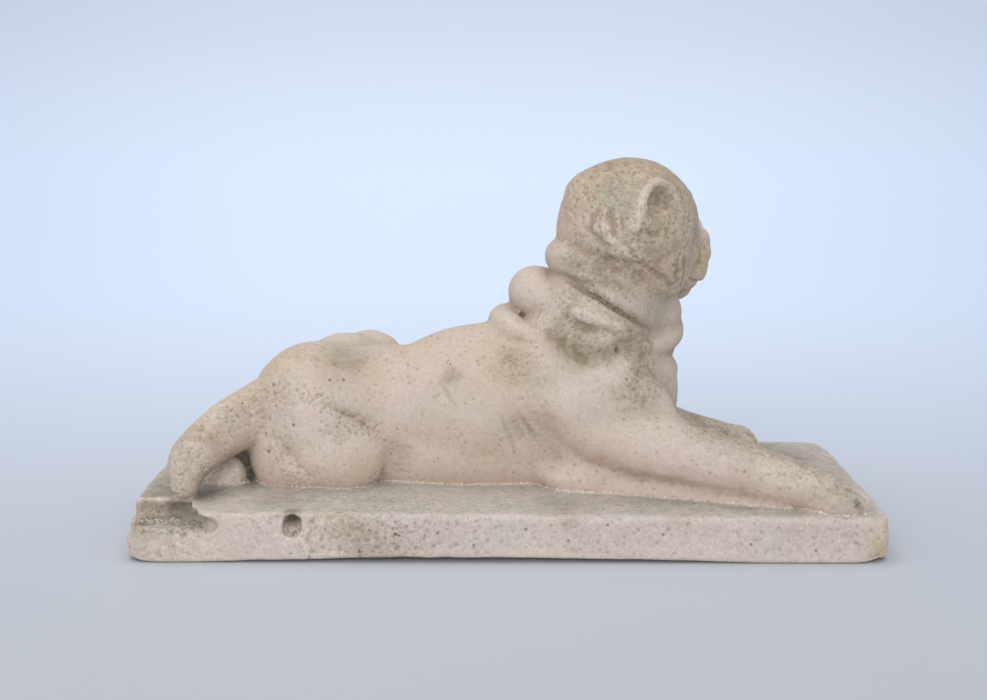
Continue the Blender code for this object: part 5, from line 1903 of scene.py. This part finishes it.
    def pitted(self, board: Board, place: Socket, colour: Socket) -> tuple[Socket, Socket]:
        """Paints shade into the small air holes.

        Args:
            board: The material's board.
            place: The coordinates.
            colour: The colour round them.

        Returns:
            The colour and the mask of the holes.
        """
        masks = []
        for finer, rarer in ((1.0, 1.0), (0.45, 0.7)):
            node = board.add("ShaderNodeGroup", {}, node_tree=GROUPS["holes"])
            board.feed(node.inputs["Place"], place)
            node.inputs["Spacing"].default_value = self.hole_spacing * finer
            node.inputs["Share"].default_value = self.hole_share * rarer
            masks.append(node.outputs["Mask"])
        holes = board.calc("MAXIMUM", masks[0], board.calc("MULTIPLY", masks[1], 0.7))
        # Painted shade in the pinholes.
        return board.blend(board.calc("MULTIPLY", holes, self.pinhole_shade), colour, self.hole), holes

    def bump(self, board: Board, place: Socket, grain: Socket, holes: Socket) -> Socket:
        """The finest relief, below the grain of the mesh.

        Args:
            board: The material's board.
            place: The coordinates.
            grain: The height of the sand.
            holes: The mask of the holes.

        Returns:
            The normal.
        """
        worn = board.rise(board.mask(Trace.ROUGH.value), 0.1, 0.9, 0.75, 1.9)
        sandy = board.calc("MULTIPLY", grain, board.calc("MULTIPLY", worn, self.grain_height))
        knobs = board.calc("MULTIPLY", board.noise(place, 0.0032, 3.0, 0.6), self.knob_height)
        height = board.calc("ADD", sandy, board.calc("MULTIPLY", knobs, worn))
        height = board.calc("SUBTRACT", height, board.calc("MULTIPLY", holes, self.hole_depth))
        node = board.add("ShaderNodeBump", {"Strength": 0.9, "Distance": 1.0, "Height": height})
        return node.outputs[0]


class Groups(dict):
    """The shared node groups, each built the first time that it is asked for."""

    makers = {"sand": sand_group, "holes": pinhole_group, "stain": stain_group}

    def __missing__(self, name: str) -> bpy.types.NodeTree:
        """Builds the group of that name."""
        self[name] = self.makers[name]()
        return self[name]


GROUPS = Groups()

FIGURE_STONE = StoneFinish(
    name="figure_stone",
    body=(0.540, 0.438, 0.350, 1),
    rosy=(0.570, 0.445, 0.372, 1),
    grey=(0.480, 0.420, 0.330, 1),
)
PLINTH_STONE = StoneFinish(
    name="plinth_stone",
    body=(0.555, 0.470, 0.410, 1),
    rosy=(0.580, 0.468, 0.424, 1),
    grey=(0.470, 0.425, 0.355, 1),
    contrast=0.55,
    worn_contrast=0.80,
    hole_share=0.007,
    upward_grime=0.42,
)


# ---------------------------------------------------------------- the studio


@dataclass
class Studio:
    """A pale seamless backdrop, soft light all round and the camera."""

    floor_reach: float = 3.2
    floor_front: float = -2.6
    sweep_start: float = 0.7
    sweep_radius: float = 1.7
    wall_height: float = 1.6
    camera_place: Point = (-0.00914, -0.89389, 0.29274)
    camera_pitch: float = 11.223
    camera_roll: float = 0.10
    lens: float = 50.0
    sky: Colour = (0.80, 0.88, 1.0, 1)
    # Painted light and shade on the paper: darker near the front, brightest mid-sweep, darker up the wall and at the
    # sides.
    near_paper: Colour = (0.490, 0.485, 0.480, 1)
    middle_paper: Colour = (0.740, 0.795, 0.885, 1)
    far_paper: Colour = (0.620, 0.655, 0.725, 1)
    side_paper: Colour = (0.42, 0.46, 0.54, 1)
    paper_shade: float = 0.48
    sky_strength: float = 0.85

    def build(self) -> None:
        """Builds the backdrop, the lights, the sky and the camera."""
        self.backdrop()
        self.lights()
        self.camera()

    def backdrop(self) -> None:
        """Builds the floor that sweeps up into a wall."""
        bpy.ops.object.select_all(action="DESELECT")
        bpy.ops.mesh.primitive_plane_add(size=1.0)
        floor = bpy.context.active_object
        floor.name = "backdrop"
        deep = self.sweep_start - self.floor_front
        size = Matrix.Diagonal((2 * self.floor_reach, deep, 1, 1))
        floor.data.transform(Matrix.Translation((0, self.sweep_start - deep / 2, 0)) @ size)
        select_only([floor])
        bpy.ops.object.mode_set(mode="EDIT")
        bpy.ops.mesh.select_mode(type="EDGE")
        bpy.ops.mesh.select_all(action="DESELECT")
        bpy.ops.object.mode_set(mode="OBJECT")
        far = max(vertex.co.y for vertex in floor.data.vertices)
        for edge in floor.data.edges:
            edge.select = all(floor.data.vertices[i].co.y > far - MILLIMETRE for i in edge.vertices)
        bpy.ops.object.mode_set(mode="EDIT")
        bpy.ops.mesh.spin(
            steps=32, angle=math.radians(-90), center=(0, far, self.sweep_radius), axis=(1, 0, 0)
        )
        bpy.ops.mesh.extrude_region_move(TRANSFORM_OT_translate={"value": (0, 0, self.wall_height)})
        bpy.ops.mesh.select_all(action="SELECT")
        bpy.ops.mesh.normals_make_consistent(inside=False)
        bpy.ops.object.mode_set(mode="OBJECT")
        bpy.ops.object.shade_smooth()
        floor.data.materials.append(self.paper())
        floor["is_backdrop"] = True

    def paper(self) -> bpy.types.Material:
        """The backdrop's matt paper, cooler further away and up the wall, with painted shade: darker near the front,
        up the far wall and towards the sides.

        Returns:
            The material.
        """
        material = bpy.data.materials.new("backdrop_paper")
        material.use_nodes = True
        board = Board(material.node_tree)
        shader = material.node_tree.nodes["Principled BSDF"]
        place = board.add("ShaderNodeTexCoord").outputs["Object"]
        axes = board.add("ShaderNodeSeparateXYZ", {"Vector": place})
        away = board.calc("ADD", axes.outputs["Y"], axes.outputs["Z"])
        colour = board.blend(board.rise(away, -0.4, 0.95), self.near_paper, self.middle_paper)
        colour = board.blend(board.rise(away, 1.45, 2.5), colour, self.far_paper)
        aside = board.calc("DIVIDE", board.calc("ABSOLUTE", axes.outputs["X"]), board.calc("ADD", away, 1.6))
        # Painted shade towards the sides.
        colour = board.blend(board.rise(aside, 0.05, 0.55, 0.0, self.paper_shade), colour, self.side_paper)
        board.feed(shader.inputs["Base Color"], colour)
        shader.inputs["Roughness"].default_value = 1.0
        shader.inputs["Specular IOR Level"].default_value = 0.0
        return material

    def lights(self) -> None:
        """Adds the overhead panel, the front one, the one for the backdrop and the sky."""
        # Each panel's name, its place, its side in metres, its power in watts and what it points at.
        for name, place, size, power, target in (
            ("overhead", (-0.4, -0.2, 1.7), 1.8, 6.6, (0, 0, 0.08)),
            ("front", (-0.3, -2.1, 0.7), 2.0, 24.5, (0, 0, 0.08)),
            ("backdrop_light", (0, 0.6, 2.6), 2.4, 14.0, (0, 2.3, 1.0)),
        ):
            bpy.ops.object.light_add(type="AREA", location=place)
            light = bpy.context.active_object
            light.name = name
            light.data.energy = power
            light.data.size = size
            aim = Vector(target) - Vector(place)
            light.rotation_euler = aim.to_track_quat("-Z", "Y").to_euler()
        world = bpy.data.worlds.new("sky")
        world.use_nodes = True
        world.node_tree.nodes["Background"].inputs["Color"].default_value = self.sky
        world.node_tree.nodes["Background"].inputs["Strength"].default_value = self.sky_strength
        bpy.context.scene.world = world
        bpy.context.scene.view_settings.view_transform = "Standard"

    def camera(self) -> None:
        """Adds the camera and makes it the scene's own."""
        bpy.ops.object.camera_add(location=self.camera_place)
        camera = bpy.context.active_object
        camera.name = "camera"
        camera.data.lens = self.lens
        turn = Matrix.Rotation(math.radians(90 - self.camera_pitch), 4, "X")
        roll = Matrix.Rotation(math.radians(self.camera_roll), 4, "Z")
        camera.rotation_euler = (turn @ roll).to_euler()
        camera.data.clip_start = 0.01
        bpy.context.scene.camera = camera


def main() -> None:
    """Builds the statue and the studio, and reports each piece."""
    logging.basicConfig(level=logging.INFO, format="%(message)s")
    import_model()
    part_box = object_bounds()
    figure = Figure().build()
    Plinth().build(figure)
    Studio().build()
    sizes = [[[float(n) for n in corner] for corner in box] for box in (part_box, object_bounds())]
    {"part": sizes[0], "visual": sizes[1]}
    log.info("part %s, visual model %s", *sizes)


if __name__ == "__main__":
    main()
